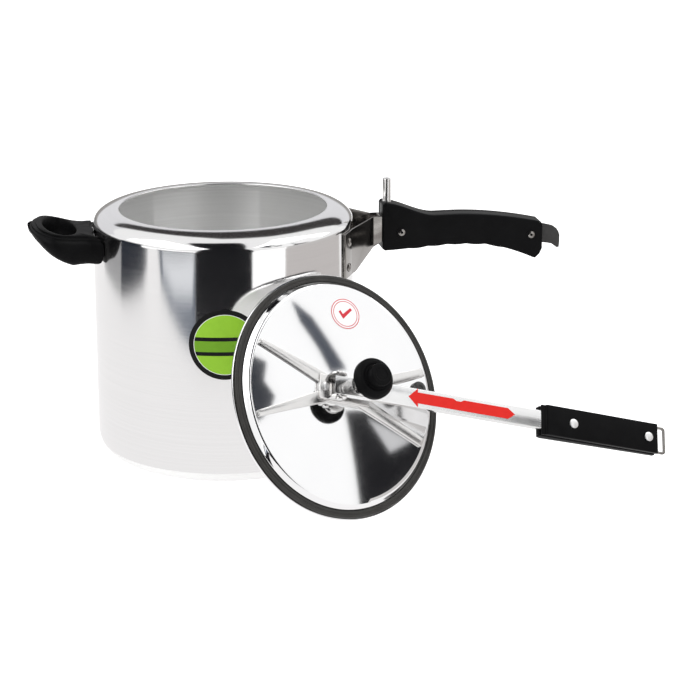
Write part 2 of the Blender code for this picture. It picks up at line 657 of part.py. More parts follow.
def hex_nut(name, centre, bore, radius, low, high, colour, frame):
    x, y = centre
    nut = new_object(name, turned([(radius, low), (radius, high)], 6), colour, frame)
    nut.location = (x, y, 0)
    cut(nut, rod("nut_bore_cutter", bore, (x, y, low - 0.01), (x, y, high + 0.01), frame))


# ---- the lever, in a frame on its pivot with x along the bar

def lever_bar(steel, frame):
    """An inverted channel with a barrel at the pivot and a flat tang in the grip."""
    half, inner = LEVER_HALF, LEVER_HALF - SHEET
    low = LEVER_TOP - LEVER_DEPTH
    section = [(-half, low), (-half, LEVER_TOP), (half, LEVER_TOP), (half, low),
               (inner, low), (inner, LEVER_TOP - SHEET), (-inner, LEVER_TOP - SHEET), (-inner, low)]
    bar = new_object("lever_bar", prism(section, -0.0045, LEVER_LENGTH, "X"), steel, frame)
    slot = prism(slot_outline(), -0.02, 0.02)
    cut(bar, new_object("slot_cutter", slot, parent=frame),
        rod("pivot_hole_cutter", PIVOT_RADIUS + FIT, (0, -0.03, 0), (0, 0.03, 0), frame, count=16))
    return bar


def slot_outline():
    """Room for the vent tube through the bar while the lever swings."""
    reach = VENT_X - PIVOT_X
    half = VENT_RADIUS + 0.0018
    return [(reach - half - 0.0012, -half), (reach + half + 0.0012, -half),
            (reach + half + 0.0012, half), (reach - half - 0.0012, half)]


def lever_grip(bakelite, steel, bright, frame):
    start, stop = LEVER_LENGTH + GAP, LEVER_LENGTH + GRIP_LENGTH
    core = GRIP_CORE
    tang_half = LEVER_HALF - 0.0005
    shift = LEVER_TOP - 0.0024
    step = [(start, shift + core + GAP), (start, shift + 0.0030), (start + 0.0035, shift + 0.0030),
            (start + 0.0035, shift + 0.0040), (start + 0.0050, shift + 0.0050),
            (stop, shift + 0.0044), (stop, shift + core + GAP)]
    top = new_object("lever_grip_top", prism(step, -GRIP_HALF, GRIP_HALF, "Y"), bakelite, frame)
    under = [(start, shift - core - GAP), (stop, shift - core - GAP), (stop, shift - 0.0085 + GRIP_SLOPE),
             (start + 0.0040, shift - 0.0085), (start, shift - 0.0070)]
    bottom = new_object("lever_grip_bottom", prism(under, -GRIP_HALF, GRIP_HALF, "Y"),
                        bakelite, frame)
    strip, window = loop_strip(start + GAP, stop, tang_half, shift, core)
    strip_obj = new_object("lever_latch_loop", strip, steel, frame)
    cut(strip_obj, new_object("loop_window_cutter", window, parent=frame))
    for x, count in zip(LEVER_RIVETS, ("1", "2")):
        hole = rod("grip_hole_cutter", RIVET_RADIUS + FIT, (x, 0, -0.03),
                   (x, 0, 0.03), frame, count=16)
        cut(top, hole)
        cut(bottom, hole)
        cut(strip_obj, hole)
        surface = shift + 0.0051
        share = (x - start) / GRIP_LENGTH
        held = 0.0051 + 0.0086 - GRIP_SLOPE * share
        piece = rivet("lever_rivet_" + count, RIVET_RADIUS, LEVER_RIVET_HEAD, held, bright, 0.0010)
        piece.parent = frame
        piece.location = (x, 0, surface)


def loop_strip(start, stop, half, level, core):
    """Flat strip through the grip, and the window that makes a square loop of its end."""
    wide = GRIP_HALF - 0.0008
    far = stop + LOOP_LENGTH
    bar = 0.0022
    outline = [(start, -half), (stop - 0.012, -half), (stop - 0.004, -wide), (far - 0.003, -wide),
               (far, -wide + 0.003), (far, wide - 0.003), (far - 0.003, wide), (stop - 0.004, wide),
               (stop - 0.012, half), (start, half)]
    window = [(stop + 0.0012, -wide + bar), (far - bar, -wide + bar), (far - bar, wide - bar),
              (stop + 0.0012, wide - bar)]
    return (prism(outline, level - core, level + core),
            prism(window, level - 0.02, level + 0.02))


# ---- the weight, in a frame on its axis with z = 0 at its foot

def weight(steel, bakelite, frame):
    bore = VENT_RADIUS + 0.0006
    depth = VENT_TOP - WEIGHT_REST + 0.0010
    body = [(bore * 0.54, depth), (bore, depth - 0.0014), (bore, 0), (WEIGHT_RADIUS - 0.0010, 0),
            (WEIGHT_RADIUS, 0.0010), (WEIGHT_RADIUS, WEIGHT_HEIGHT)]
    new_object("weight_body", turned(body, 28), steel, frame)
    low = WEIGHT_HEIGHT + GAP
    high = low + CAP_HEIGHT
    cap = [(CAP_RADIUS - 0.0012, low), (CAP_RADIUS, low + 0.0012), (CAP_RADIUS, high - 0.0030),
           (CAP_RADIUS - 0.0030, high), (KNOB_RADIUS, high), (KNOB_RADIUS, high + KNOB_HEIGHT - 0.0012),
           (KNOB_RADIUS - 0.0012, high + KNOB_HEIGHT)]
    new_object("weight_cap", turned(cap, 32), bakelite, frame)


# ---- assembly

def empty(name, matrix, parent=None):
    obj = bpy.data.objects.new(name, None)
    bpy.context.collection.objects.link(obj)
    obj.parent = parent
    obj.matrix_local = matrix
    return obj


def lid_matrix():
    """The lid stands on its rim and leans against the pot."""
    normal = LID_NORMAL.normalized()
    along = (LEVER_WAY - normal * LEVER_WAY.dot(normal)).normalized()
    across = normal.cross(along)
    turn = Matrix((along, across, normal)).transposed().to_4x4()
    side = LID_SIDE.normalized()
    toward_pot = math.hypot(LID_SHORT * along.dot(side), LID_LONG * across.dot(side))
    down = math.hypot(LID_SHORT * along.z, LID_LONG * across.z)
    spot = side * (POT_RADIUS + LEAN_GAP + toward_pot)
    return Matrix.Translation((spot.x, spot.y, down + GAP)) @ turn


def main():
    for obj in list(bpy.data.objects):
        bpy.data.objects.remove(obj, do_unlink=True)
    aluminium = material("polished_aluminium", (0.80, 0.80, 0.80), 0.18, 1.0)
    steel = material("bright_steel", (0.72, 0.72, 0.72), 0.16, 1.0)
    bakelite = material("black_bakelite", (0.012, 0.012, 0.013), 0.35, 0.0)
    black_steel = material("blackened_steel", (0.03, 0.03, 0.03), 0.5, 0.3)
    rubber = material("grey_rubber", (0.20, 0.20, 0.19), 0.7, 0.0)
    brass = material("valve_metal", (0.35, 0.34, 0.33), 0.4, 1.0)
    bright = material("rivet_aluminium", (0.85, 0.85, 0.85), 0.3, 1.0)

    pot_body(aluminium)
    handle_bracket(steel)
    for count, (angle, height) in enumerate(rivet_places(), start=1):
        radial_rivet("bracket_rivet_%d" % count, angle, height, steel)
    handle_pieces(bakelite, steel, black_steel)
    helper_handle(bakelite)
    helper_fixings(steel)

    lid = empty("lid_frame", lid_matrix())
    lid_plate(aluminium, lid)
    lid_gasket(rubber, lid)
    lid_brace(steel, lid)
    lid_bracket(steel, lid)
    lid_fittings(steel, brass, lid)

    pivot = Matrix.Translation((PIVOT_X, 0, PIVOT_HEIGHT)) @ Matrix.Rotation(-LEVER_LIFT, 4, "Y")
    lever = empty("lever_frame", pivot, lid)
    lever_bar(steel, lever)
    lever_grip(bakelite, steel, bright, lever)

    rest = empty("weight_frame", Matrix.Translation((VENT_X, 0, WEIGHT_REST)), lid)
    weight(steel, bakelite, rest)


main()
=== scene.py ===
"""Inner-lid pressure cooker: finished pieces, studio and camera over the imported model.

Metres, +Z up, the origin in the middle of the pot's flat bottom. Pieces of the lid, lever
and weight are made flat in their own frames, which come from the record's joints, and are
then set in place.
"""
import json
import math

import bmesh
import bpy
from mathutils import Matrix, Vector


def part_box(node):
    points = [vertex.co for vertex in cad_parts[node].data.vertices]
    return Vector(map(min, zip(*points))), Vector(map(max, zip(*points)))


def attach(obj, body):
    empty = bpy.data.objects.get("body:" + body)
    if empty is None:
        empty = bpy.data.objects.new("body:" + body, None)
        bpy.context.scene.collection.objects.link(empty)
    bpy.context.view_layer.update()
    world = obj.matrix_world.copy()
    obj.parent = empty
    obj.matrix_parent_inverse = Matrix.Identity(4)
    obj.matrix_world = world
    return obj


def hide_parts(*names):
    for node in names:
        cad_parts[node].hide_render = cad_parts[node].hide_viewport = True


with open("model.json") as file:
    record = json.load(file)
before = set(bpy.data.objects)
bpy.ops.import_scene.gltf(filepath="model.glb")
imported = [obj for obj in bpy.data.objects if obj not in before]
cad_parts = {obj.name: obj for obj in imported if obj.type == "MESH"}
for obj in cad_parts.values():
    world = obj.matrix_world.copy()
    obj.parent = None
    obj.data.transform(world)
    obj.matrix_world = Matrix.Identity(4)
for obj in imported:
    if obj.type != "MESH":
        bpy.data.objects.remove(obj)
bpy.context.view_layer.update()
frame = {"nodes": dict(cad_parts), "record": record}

# ---- the pot
POT_RADIUS = 0.108
POT_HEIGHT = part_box("pot_body")[1][2]
POT_WALL = 0.0025
POT_FLOOR = 0.0035
POT_CORNER = 0.020
SHOULDER_DROP = 0.0115
MOUTH = (0.0864, 0.0794)
LIP_ROUND = 0.0006
SHEET = 0.0016
GAP = 0.0003

# ---- the long handle
HANDLE_START = 0.1338
HANDLE_END = 0.2730
HANDLE_HALF = 0.0095
COVER_FACE = 0.0047
TANG_HALF = 0.0010
HOOK_REACH = 0.0175
SCREWS = ((0.1502, 0.1812), (0.2631, 0.1735))
SCREW_HEAD = 0.0037
PIN_X = 0.1390
PIN_RADIUS = 0.0035
PIN_TOP = 0.2266
BRACKET_Z = (0.1575, 0.1955)
NECK_HALF = 0.0082
FLANGE = (24, 34)
BRACKET_RIVETS = (0.1655, 0.1870)

# ---- the helper handle
HELPER_TIP = 0.162
HELPER_HALF = 0.0395
HELPER_BASE = 0.173
HOLE_CENTRE = 0.1362
HOLE_HALF = (0.0138, 0.0290)
# distance out from the wall, height of the top there
HELPER_CROWN = ((0.000, 0.1954), (0.008, 0.1961), (0.016, 0.1970), (0.030, 0.1995),
                (0.042, 0.2020), (0.050, 0.2034), (0.064, 0.2040))

# ---- the lid
LID_HALF = (0.0925, 0.1018)
LID_SHEET = 0.0020
LIP_WIDTH = 0.0011
GASKET_HEIGHT = 0.0034
STEP_INSET = 0.0073
STEP_TOP = 0.0100
DOME_TOP = 0.0140
EDGE = STEP_INSET + 0.0035
BRACE_THICK = 0.0020
BRACE_ARM = 0.0070
BRACE_REACH = (0.074, 0.030)
VENT_X = 0.0050
VENT_RADIUS = 0.0035
VENT_TOP = 0.0430
PIVOT_X = -0.0100
PIVOT_HEIGHT = 0.0255
PIVOT_RADIUS = 0.0020
VALVE = (0.0700, 0.0150)
VALVE_RADIUS = 0.0060

# ---- the lever and the weight
LEVER_HALF = 0.0080
LEVER_TOP = 0.0026
LEVER_DEPTH = 0.0045
LEVER_LENGTH = 0.1820
LEVER_LIFT = 2.5
GRIP_LENGTH = 0.1115
GRIP_HALF = 0.0127
LOOP_LENGTH = 0.0095
LEVER_RIVETS = (0.2115, 0.2840)
WEIGHT_REST = 0.0365
WEIGHT_RADIUS = 0.0100
WEIGHT_HEIGHT = 0.0135
CAP_RADIUS = 0.0165
CAP_HEIGHT = 0.0085
KNOB_RADIUS = 0.0092
KNOB_HEIGHT = 0.0080

# ---- the studio
VIEW_YAW = math.radians(11.4505)
VIEW_PITCH = 0.3019481672
CAMERA = Vector((-0.3004, -2.0141, 0.7175))
LENS = 129.615


def frames():
    """The lid's, the lever's and the weight's places, from the record's joints."""
    joints = {joint["name"]: joint for joint in frame["record"]["behaviour"]["joints"]}
    up = Vector(joints["weight_lift"]["axis"]).normalized()
    across = -Vector(joints["lever_pivot"]["axis"]).normalized()
    along = across.cross(up).normalized()
    across = up.cross(along)
    pivot = Vector(joints["lever_pivot"]["pos_m"])
    origin = pivot - along * PIVOT_X - up * PIVOT_HEIGHT
    turn = Matrix((along, across, up)).transposed().to_4x4()
    lid = Matrix.Translation(origin) @ turn
    lever = (lid @ Matrix.Translation((PIVOT_X, 0, PIVOT_HEIGHT))
             @ Matrix.Rotation(-math.radians(LEVER_LIFT), 4, "Y"))
    weight = lid @ Matrix.Translation((VENT_X, 0, WEIGHT_REST))
    return lid, lever, weight


LID, LEVER, WEIGHT = frames()


# ---- shader maths

class Wire:
    """A socket that takes part in arithmetic; each operation adds a Math node."""

    def __init__(self, finish, socket):
        self.finish = finish
        self.socket = socket

    def maths(self, kind, *values):
        return self.finish.node("ShaderNodeMath", {"operation": kind}, dict(enumerate(values)))

    def __add__(self, other):
        return self.maths("ADD", self, other)

    def __sub__(self, other):
        return self.maths("SUBTRACT", self, other)

    def __rsub__(self, other):
        return self.maths("SUBTRACT", other, self)

    def __mul__(self, other):
        return self.maths("MULTIPLY", self, other)

    def __pow__(self, other):
        return self.maths("POWER", self, other)

    __radd__ = __add__
    __rmul__ = __mul__

    def step(self, low, high):
        """0 below low, 1 above high, smooth between."""
        return self.finish.node("ShaderNodeMapRange", {"interpolation_type": "SMOOTHSTEP"},
                                {"Value": self, "From Min": low, "From Max": high})


class Finish:
    """One material on a Principled shader."""

    def __init__(self, name, colour, roughness, metallic=0.0, **constants):
        self.material = bpy.data.materials.new(name)
        self.material.use_nodes = True
        self.tree = self.material.node_tree
        self.shader = self.tree.nodes["Principled BSDF"]
        self.feed("Base Color", (*colour, 1.0))
        self.feed("Roughness", roughness)
        self.feed("Metallic", metallic)
        for key, value in constants.items():
            self.feed(key.replace("_", " "), value)

    def put(self, socket, value):
        if isinstance(value, Wire):
            self.tree.links.new(value.socket, socket)
        else:
            socket.default_value = value

    def feed(self, name, value):
        self.put(self.shader.inputs[name], value)

    def node(self, kind, settings=None, values=None, output=0):
        made = self.tree.nodes.new(kind)
        for key, value in (settings or {}).items():
            setattr(made, key, value)
        for key, value in (values or {}).items():
            self.put(made.inputs[key], value)
        return Wire(self, made.outputs[output])

    def place(self, matrix=None, scale=(1, 1, 1)):
        """Object coordinates, seen from a piece's own frame if one is given."""
        spot = self.node("ShaderNodeTexCoord", output="Object")
        if matrix is not None:
            back = matrix.inverted()
            spot = self.node("ShaderNodeMapping", values={
                "Vector": spot, "Location": back.to_translation(),
                "Rotation": back.to_euler("XYZ")})
        if scale != (1, 1, 1):
            spot = self.node("ShaderNodeMapping", values={"Vector": spot, "Scale": scale})
        return spot

    def axes(self, spot):
        split = self.node("ShaderNodeSeparateXYZ", values={"Vector": spot})
        node = split.socket.node
        return [Wire(self, node.outputs[i]) for i in range(3)]

    def noise(self, spot, scale, detail=3.0, rough=0.55):
        return self.node("ShaderNodeTexNoise", values={
            "Vector": spot, "Scale": scale, "Detail": detail, "Roughness": rough})

    def blend(self, factor, first, second):
        """Inputs 0, 6 and 7 and output 2 are the mix node's colour sockets."""
        return self.node("ShaderNodeMix", {"data_type": "RGBA"},
                         {0: factor, 6: (*first, 1.0), 7: (*second, 1.0)}, output=2)

    def relief(self, height, distance, strength=1.0):
        self.feed("Normal", self.node("ShaderNodeBump", values={
            "Height": height, "Distance": distance, "Strength": strength}))


def polished_pot():
    """Polished aluminium with faint brushing that runs round the pot."""
    f = Finish("polished_pot", (0.84, 0.84, 0.845), 0.09, 1.0, Anisotropic=0.6,
               Anisotropic_Rotation=0.25)
    lines = f.noise(f.place(scale=(3, 3, 900)), 1.0, 5.0, 0.7)
    cloud = f.noise(f.place(), 18.0, 4.0)
    f.feed("Roughness", 0.055 + 0.07 * lines + 0.03 * cloud)
    f.feed("Base Color", f.blend(lines, (0.79, 0.785, 0.785), (0.87, 0.865, 0.865)))
    f.relief(lines, 0.000012, 0.5)
    return f.material


def turned_aluminium():
    """Satin metal with fine turning rings, inside the pot and under the lid."""
    f = Finish("turned_aluminium", (0.80, 0.80, 0.80), 0.4, 0.6, Anisotropic=0.85,
               Anisotropic_Rotation=0.25)
    lines = f.noise(f.place(scale=(5, 5, 700)), 1.0, 4.0, 0.7)
    cloud = f.noise(f.place(), 30.0, 4.0)
    f.feed("Roughness", 0.27 + 0.12 * lines + 0.04 * cloud)
    sheen = 0.75 + 0.25 * lines
    f.feed("Base Color", f.blend(sheen, (0.36, 0.356, 0.35), (1.0, 1.0, 0.995)))
    f.relief(lines, 0.00004, 0.5)
    return f.material


def polished_lid():
    """Mirror-bright lid with very fine rings around its middle."""
    f = Finish("polished_lid", (0.92, 0.92, 0.925), 0.04, 1.0)
    x, y, _ = f.axes(f.place(LID))
    radius = (x * x * 1.21 + y * y) ** 0.5
    ring = f.node("ShaderNodeCombineXYZ", values={0: radius})
    lines = f.noise(ring, 2200.0, 2.0)
    haze = f.noise(f.place(LID), 25.0, 4.0)
    f.feed("Roughness", 0.025 + 0.03 * lines + 0.03 * haze)
    f.feed("Base Color", f.blend(haze, (0.90, 0.90, 0.91), (0.94, 0.94, 0.94)))
    f.relief(lines, 0.000004, 0.4)
    return f.material


def bright_steel(name, matrix, colour):
    """Rolled steel: soft drawn lines along the strip and cleaner patches between."""
    f = Finish(name, colour, 0.14, 1.0)
    lines = f.noise(f.place(matrix, scale=(60, 1200, 1200)), 1.0, 3.0, 0.6)
    cloud = f.noise(f.place(matrix), 60.0, 4.0)
    f.feed("Roughness", 0.09 + 0.09 * lines + 0.07 * cloud)
    dark = tuple(c * 0.82 for c in colour)
    f.feed("Base Color", f.blend(cloud, dark, colour))
    f.relief(lines, 0.00002, 0.5)
    return f.material


def black_bakelite(name, gloss):
    """Moulded black plastic: glossy, with a faint flow pattern and a little surface dust."""
    f = Finish(name, (0.006, 0.006, 0.007), gloss, 0.0, IOR=1.5, Specular_IOR_Level=0.05)
    cloud = f.noise(f.place(), 70.0, 5.0)
    grain = f.noise(f.place(), 1800.0, 2.0)
    f.feed("Base Color", f.blend(cloud, (0.002, 0.002, 0.0023), (0.006, 0.006, 0.0064)))
    f.feed("Roughness", gloss + 0.14 * cloud + 0.05 * grain)
    f.relief(grain + 2.0 * cloud, 0.00003, 0.4)
    return f.material


def blackened_steel():
    """Steel with a thin matt black coat, rubbed at random."""
    f = Finish("blackened_steel", (0.02, 0.02, 0.02), 0.5, 0.2)
    cloud = f.noise(f.place(), 160.0, 5.0)
    f.feed("Base Color", f.blend(cloud, (0.010, 0.010, 0.010), (0.045, 0.043, 0.042)))
    f.feed("Roughness", 0.38 + 0.25 * cloud)
    f.relief(cloud, 0.00006, 0.5)
    return f.material


def grey_rubber():
    """Grey-brown rubber with a bloom and fine moulding grain."""
    f = Finish("grey_rubber", (0.03, 0.028, 0.025), 0.4, Specular_IOR_Level=0.35)
    cloud = f.noise(f.place(), 90.0, 5.0)
    grain = f.noise(f.place(), 1500.0, 3.0)
    f.feed("Base Color", f.blend(cloud, (0.012, 0.011, 0.010), (0.036, 0.034, 0.031)))
    f.feed("Roughness", 0.28 + 0.20 * cloud)
    f.relief(grain, 0.00005, 0.6)
    return f.material


def valve_metal():
    """Dark cast metal with a coarse grain."""
    f = Finish("valve_metal", (0.06, 0.06, 0.06), 0.35, 0.6)
    cloud = f.noise(f.place(LID), 300.0, 4.0)
    f.feed("Base Color", f.blend(cloud, (0.02, 0.02, 0.02), (0.09, 0.09, 0.09)))
    f.feed("Roughness", 0.25 + 0.25 * cloud)
    f.relief(cloud, 0.00004, 0.5)
    return f.material


def rivet_aluminium():
    """Dull bright metal with a fine mottle."""
    f = Finish("rivet_aluminium", (0.86, 0.86, 0.86), 0.3, 1.0)
    cloud = f.noise(f.place(), 500.0, 4.0)
    f.feed("Base Color", f.blend(cloud, (0.74, 0.74, 0.74), (0.92, 0.92, 0.92)))
    f.feed("Roughness", 0.22 + 0.25 * cloud)
    f.relief(cloud, 0.00003, 0.5)
    return f.material


def printed(name, colour, other=None):
    """Printed film: even ink with a faint mottle."""
    f = Finish(name, colour, 0.3, 0.0, Specular_IOR_Level=0.12)
    mottle = f.noise(f.place(), 220.0, 4.0)
    dark = other or tuple(c * 0.86 for c in colour)
    f.feed("Base Color", f.blend(mottle, dark, colour))
    f.feed("Roughness", 0.25 + 0.12 * mottle)
    f.relief(mottle, 0.00001, 0.3)
    return f.material


# ---- mesh helpers

def finish_piece(bm, name, looks, matrix=None, sharp=35):
    """Closes, turns outwards, sets in place and makes the object."""
    bmesh.ops.remove_doubles(bm, verts=bm.verts, dist=0.000001)
    bmesh.ops.recalc_face_normals(bm, faces=bm.faces)
    if matrix is not None:
        bm.transform(matrix)
    mesh = bpy.data.meshes.new(name)
    bm.to_mesh(mesh)
    bm.free()
    for look in looks if isinstance(looks, (list, tuple)) else [looks]:
        mesh.materials.append(look)
    mesh.shade_smooth()
    mesh.set_sharp_from_angle(angle=math.radians(sharp))
    piece = bpy.data.objects.new(name, mesh)
    bpy.context.collection.objects.link(piece)
    return piece


def stands_for(piece, body, slot, *nodes):
    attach(piece, body)
    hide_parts(*nodes)
    return piece


def spun(profile, steps=64, closed=False):
    """A turned shape. Each profile entry is radius, height and, if wanted, its rounding."""
    bm = bmesh.new()
    points = [bm.verts.new((entry[0], 0, entry[1])) for entry in profile]
    ends = points[1:] + points[:1] if closed else points[1:]
    for start, stop in zip(points, ends):
        bm.edges.new((start, stop))
    bmesh.ops.spin(bm, geom=bm.verts[:] + bm.edges[:], axis=(0, 0, 1), cent=(0, 0, 0),
                   angle=math.tau, steps=steps, use_merge=True)
    bmesh.ops.remove_doubles(bm, verts=bm.verts, dist=0.000001)
    for entry in profile:
        if len(entry) > 2 and entry[0] > 0:
            round_ring(bm, *entry)
    return bm


def round_ring(bm, radius, height, size):
    """Rounds the edges that lie on one ring of a turned shape."""
    def on_ring(vert):
        off = abs(math.hypot(vert.co.x, vert.co.y) - radius)
        return off < 0.000005 and abs(vert.co.z - height) < 0.000005

    ring = [edge for edge in bm.edges if all(on_ring(vert) for vert in edge.verts)]
    bmesh.ops.bevel(bm, geom=ring, offset=size, offset_type="OFFSET", segments=4,
                    profile=0.5, affect="EDGES", material=-1)


def slab(outline, low, high, along="Z"):
    """An outline pushed out into a plate between two levels of one axis."""
    seat = {"Z": lambda a, b: (a, b, low), "Y": lambda a, b: (a, low, b),
            "X": lambda a, b: (low, a, b)}[along]
    way = {"Z": (0, 0, 1), "Y": (0, 1, 0), "X": (1, 0, 0)}[along]
    bm = bmesh.new()
    face = bm.faces.new([bm.verts.new(seat(*point)) for point in outline])
    pushed = bmesh.ops.extrude_face_region(bm, geom=[face], use_keep_orig=True)
    verts = [item for item in pushed["geom"] if isinstance(item, bmesh.types.BMVert)]
    bmesh.ops.translate(bm, verts=verts, vec=Vector(way) * (high - low))
    bmesh.ops.recalc_face_normals(bm, faces=bm.faces)
    return bm


def soften(bm, size, angle, segments, wanted=None):
    """Rounds every edge sharper than the angle, or the wanted ones among them."""
    limit = math.radians(angle)
    edges = [edge for edge in bm.edges if len(edge.link_faces) == 2
             and edge.calc_face_angle() > limit and (wanted is None or wanted(edge))]
    bmesh.ops.bevel(bm, geom=edges, offset=size, offset_type="OFFSET", segments=segments,
                    profile=0.5, affect="EDGES", material=-1, clamp_overlap=True)
    return bm


def lofted(rings, closed=False):
    """Bridges a row of equal rings; a closed row joins its last to its first."""
    bm = bmesh.new()
    loops = []
    for ring in rings:
        verts = [bm.verts.new(point) for point in ring]
        loops.append([bm.edges.new(pair) for pair in zip(verts, verts[1:] + verts[:1])])
    pairs = list(zip(loops, loops[1:]))
    if closed:
        pairs.append((loops[-1], loops[0]))
    for low, high in pairs:
        bmesh.ops.bridge_loops(bm, edges=low + high)
    if not closed:
        for loop in (loops[0], loops[-1]):
            bmesh.ops.contextual_create(bm, geom=loop)
    bmesh.ops.recalc_face_normals(bm, faces=bm.faces)
    return bm


def arc(cx, cy, rx, ry, start, stop, steps):
    """Points along an oval from one angle to another, in degrees."""
    turns = [math.radians(start + (stop - start) * i / steps) for i in range(steps + 1)]
    return [(cx + rx * math.cos(a), cy + ry * math.sin(a)) for a in turns]


def facing(spot, way):
    """A place whose z axis points the given way."""
    turn = Vector(way).to_track_quat("Z", "Y").to_matrix().to_4x4()
    return Matrix.Translation(Vector(spot)) @ turn


# ---- the pot

def make_pot(outside, inside):
    """Spun round, then the mouth is drawn into its oval."""
    inner = POT_RADIUS - POT_WALL

    def shoulder(inset, start, stop):
        """A quarter turn from the mouth (0 degrees) to the straight wall (90)."""
        lip = MOUTH[0] + (LIP_ROUND if inset else 0)
        turns = [math.radians(start + (stop - start) * i / 24) for i in range(25)]
        return [(lip + math.sin(t) * (POT_RADIUS - inset - lip),
                 POT_HEIGHT - inset - (SHOULDER_DROP - inset) * (1 - math.cos(t))) for t in turns]

    corner = arc(POT_RADIUS - POT_CORNER, POT_CORNER, POT_CORNER, POT_CORNER, -90, 0, 18)
    inner_corner = arc(POT_RADIUS - POT_CORNER, POT_CORNER, POT_CORNER - POT_WALL,
                       POT_CORNER - POT_FLOOR, 0, -90, 14)
    lip = MOUTH[0]
    wall = [(POT_RADIUS, POT_CORNER + 0.0015), (POT_RADIUS, POT_HEIGHT - SHOULDER_DROP - 0.0008)]
    profile = [(0, 0), (0.05, 0)] + corner + wall + shoulder(0, 90, 2)
    profile += [(lip + 0.0002, POT_HEIGHT - 0.0001), (lip, POT_HEIGHT - 0.0004),
                (lip, POT_HEIGHT - 0.0010), (lip + 0.0001, POT_HEIGHT - 0.0013),
                (lip + 0.0004, POT_HEIGHT - 0.0017)]
    profile += shoulder(POT_WALL, 2, 90) + inner_corner + [(0.05, POT_FLOOR), (0, POT_FLOOR)]
    bm = spun(profile, 144)
    for vert in bm.verts:
        radius = math.hypot(vert.co.x, vert.co.y)
        if vert.co.z > POT_HEIGHT - SHOULDER_DROP and radius > lip - 0.000001:
            share = (POT_RADIUS - radius) / (POT_RADIUS - lip)
            vert.co.y *= 1 + share * (MOUTH[1] - MOUTH[0]) / radius
    bmesh.ops.recalc_face_normals(bm, faces=bm.faces)
    for face in bm.faces:
        spot, normal = face.calc_center_median(), face.normal
        within = spot.z > 0.002 and (normal.z < -0.1 or normal.xy.dot(spot.xy) < 0 or spot.z < 0.02)
        radius = math.hypot(spot.x, spot.y)
        face.material_index = 1 if within and radius < inner + 0.0004 and spot.z < POT_HEIGHT - 0.0012 else 0
    pot = finish_piece(bm, "pot", [outside, inside], sharp=50)
    stands_for(pot, "pot", "polished_aluminium", "pot_body")


def make_label(ink, green, dark_green, pale):
    """A round film label on the wall: black rim, green field, plain bars and no words."""
    radius, middle, height = 0.0292, math.radians(-98.6), 0.1218
    skin = POT_RADIUS + 0.00012
    rings = [0, 0.006, 0.012, 0.018, 0.0238, 0.0248, 0.0252, radius]
    bm = spun([(r, 0) for r in rings], 96)
    for level in (-0.0092, -0.0060, 0.0030, 0.0062):
        bmesh.ops.bisect_plane(bm, geom=bm.verts[:] + bm.edges[:] + bm.faces[:],
                               plane_co=(0, level, 0), plane_no=(0, 1, 0))
    for face in bm.faces:
        spot = face.calc_center_median()
        out = math.hypot(spot.x, spot.y)
        face.material_index = 1
        if out > 0.0252:
            face.material_index = 0
        elif out > 0.0248:
            face.material_index = 3
        elif -0.0092 < spot.y < -0.0060 or 0.0030 < spot.y < 0.0062:
            face.material_index = 0
        elif -0.0060 < spot.y < 0.0030:
            face.material_index = 2
    for vert in bm.verts:
        turn = middle + vert.co.x / POT_RADIUS
        vert.co = (skin * math.cos(turn), skin * math.sin(turn), height + vert.co.y)
    label = finish_piece(bm, "pot_label", [ink, green, dark_green, pale])
    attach(label, "pot")


# ---- the long handle and its bracket

def handle_top(x):
    """Height of the grip's top: a fall behind the root, then a gentle bow down to the tail."""
    along = (x - HANDLE_START) / (HANDLE_END - HANDLE_START)
    ease = min(1.0, along / 0.34)
    fall = 0.0128 * ease * ease * (3 - 2 * ease)
    return 0.2073 - fall - 0.0103 * (max(0.0, along - 0.45) / 0.55) ** 1.8


def handle_under(x):
    """Height of its underside: a shallow hollow with finger scallops, then the tail's drop."""
    along = (x - HANDLE_START) / (HANDLE_END - HANDLE_START)
    hollow = 0.0029 * math.sin(math.pi * min(1.0, along / 0.86)) ** 2
    tail = max(0.0, along - 0.62) / 0.33
    wave = 0.0
    if 0.16 < along < 0.76:
        wave = 0.0008 * abs(math.sin(math.pi * (along - 0.16) / 0.12))
    return 0.1659 + hollow - 0.0132 * min(1.0, tail) ** 1.7 - wave


def handle_outline(inset=0.0):
    span = HANDLE_END - HANDLE_START
    top = [HANDLE_START + 0.0020 + (span - 0.0040) * i / 44 for i in range(45)]
    under = [HANDLE_START + 0.0020 + (span - 0.0080) * i / 70 for i in range(71)]
    points = [(HANDLE_START + inset, handle_under(HANDLE_START) + 0.0018),
              (HANDLE_START + inset, handle_top(HANDLE_START) - 0.0018)]
    points += [(x, handle_top(x) - inset) for x in top]
    points += [(HANDLE_END - inset, handle_top(HANDLE_END) - 0.0018), (HANDLE_END - inset, 0.1610),
               (HANDLE_END - 0.0022, 0.1562 + inset)]
    return points + [(x, handle_under(x) + inset) for x in reversed(under)]


def handle_half(low, high, outer):
    """One moulding of the grip: the outline pushed out, its outer edge rounded."""
    bm = slab(handle_outline(), low, high, "Y")

    def outside(edge):
        return all(abs(vert.co.y - outer) < 0.00001 for vert in edge.verts)

    def inside(edge):
        other = low if outer == high else high
        return all(abs(vert.co.y - other) < 0.00001 for vert in edge.verts)

    soften(bm, 0.0004, 30, 2, inside)
    soften(bm, 0.0014, 30, 4, outside)
    return bm


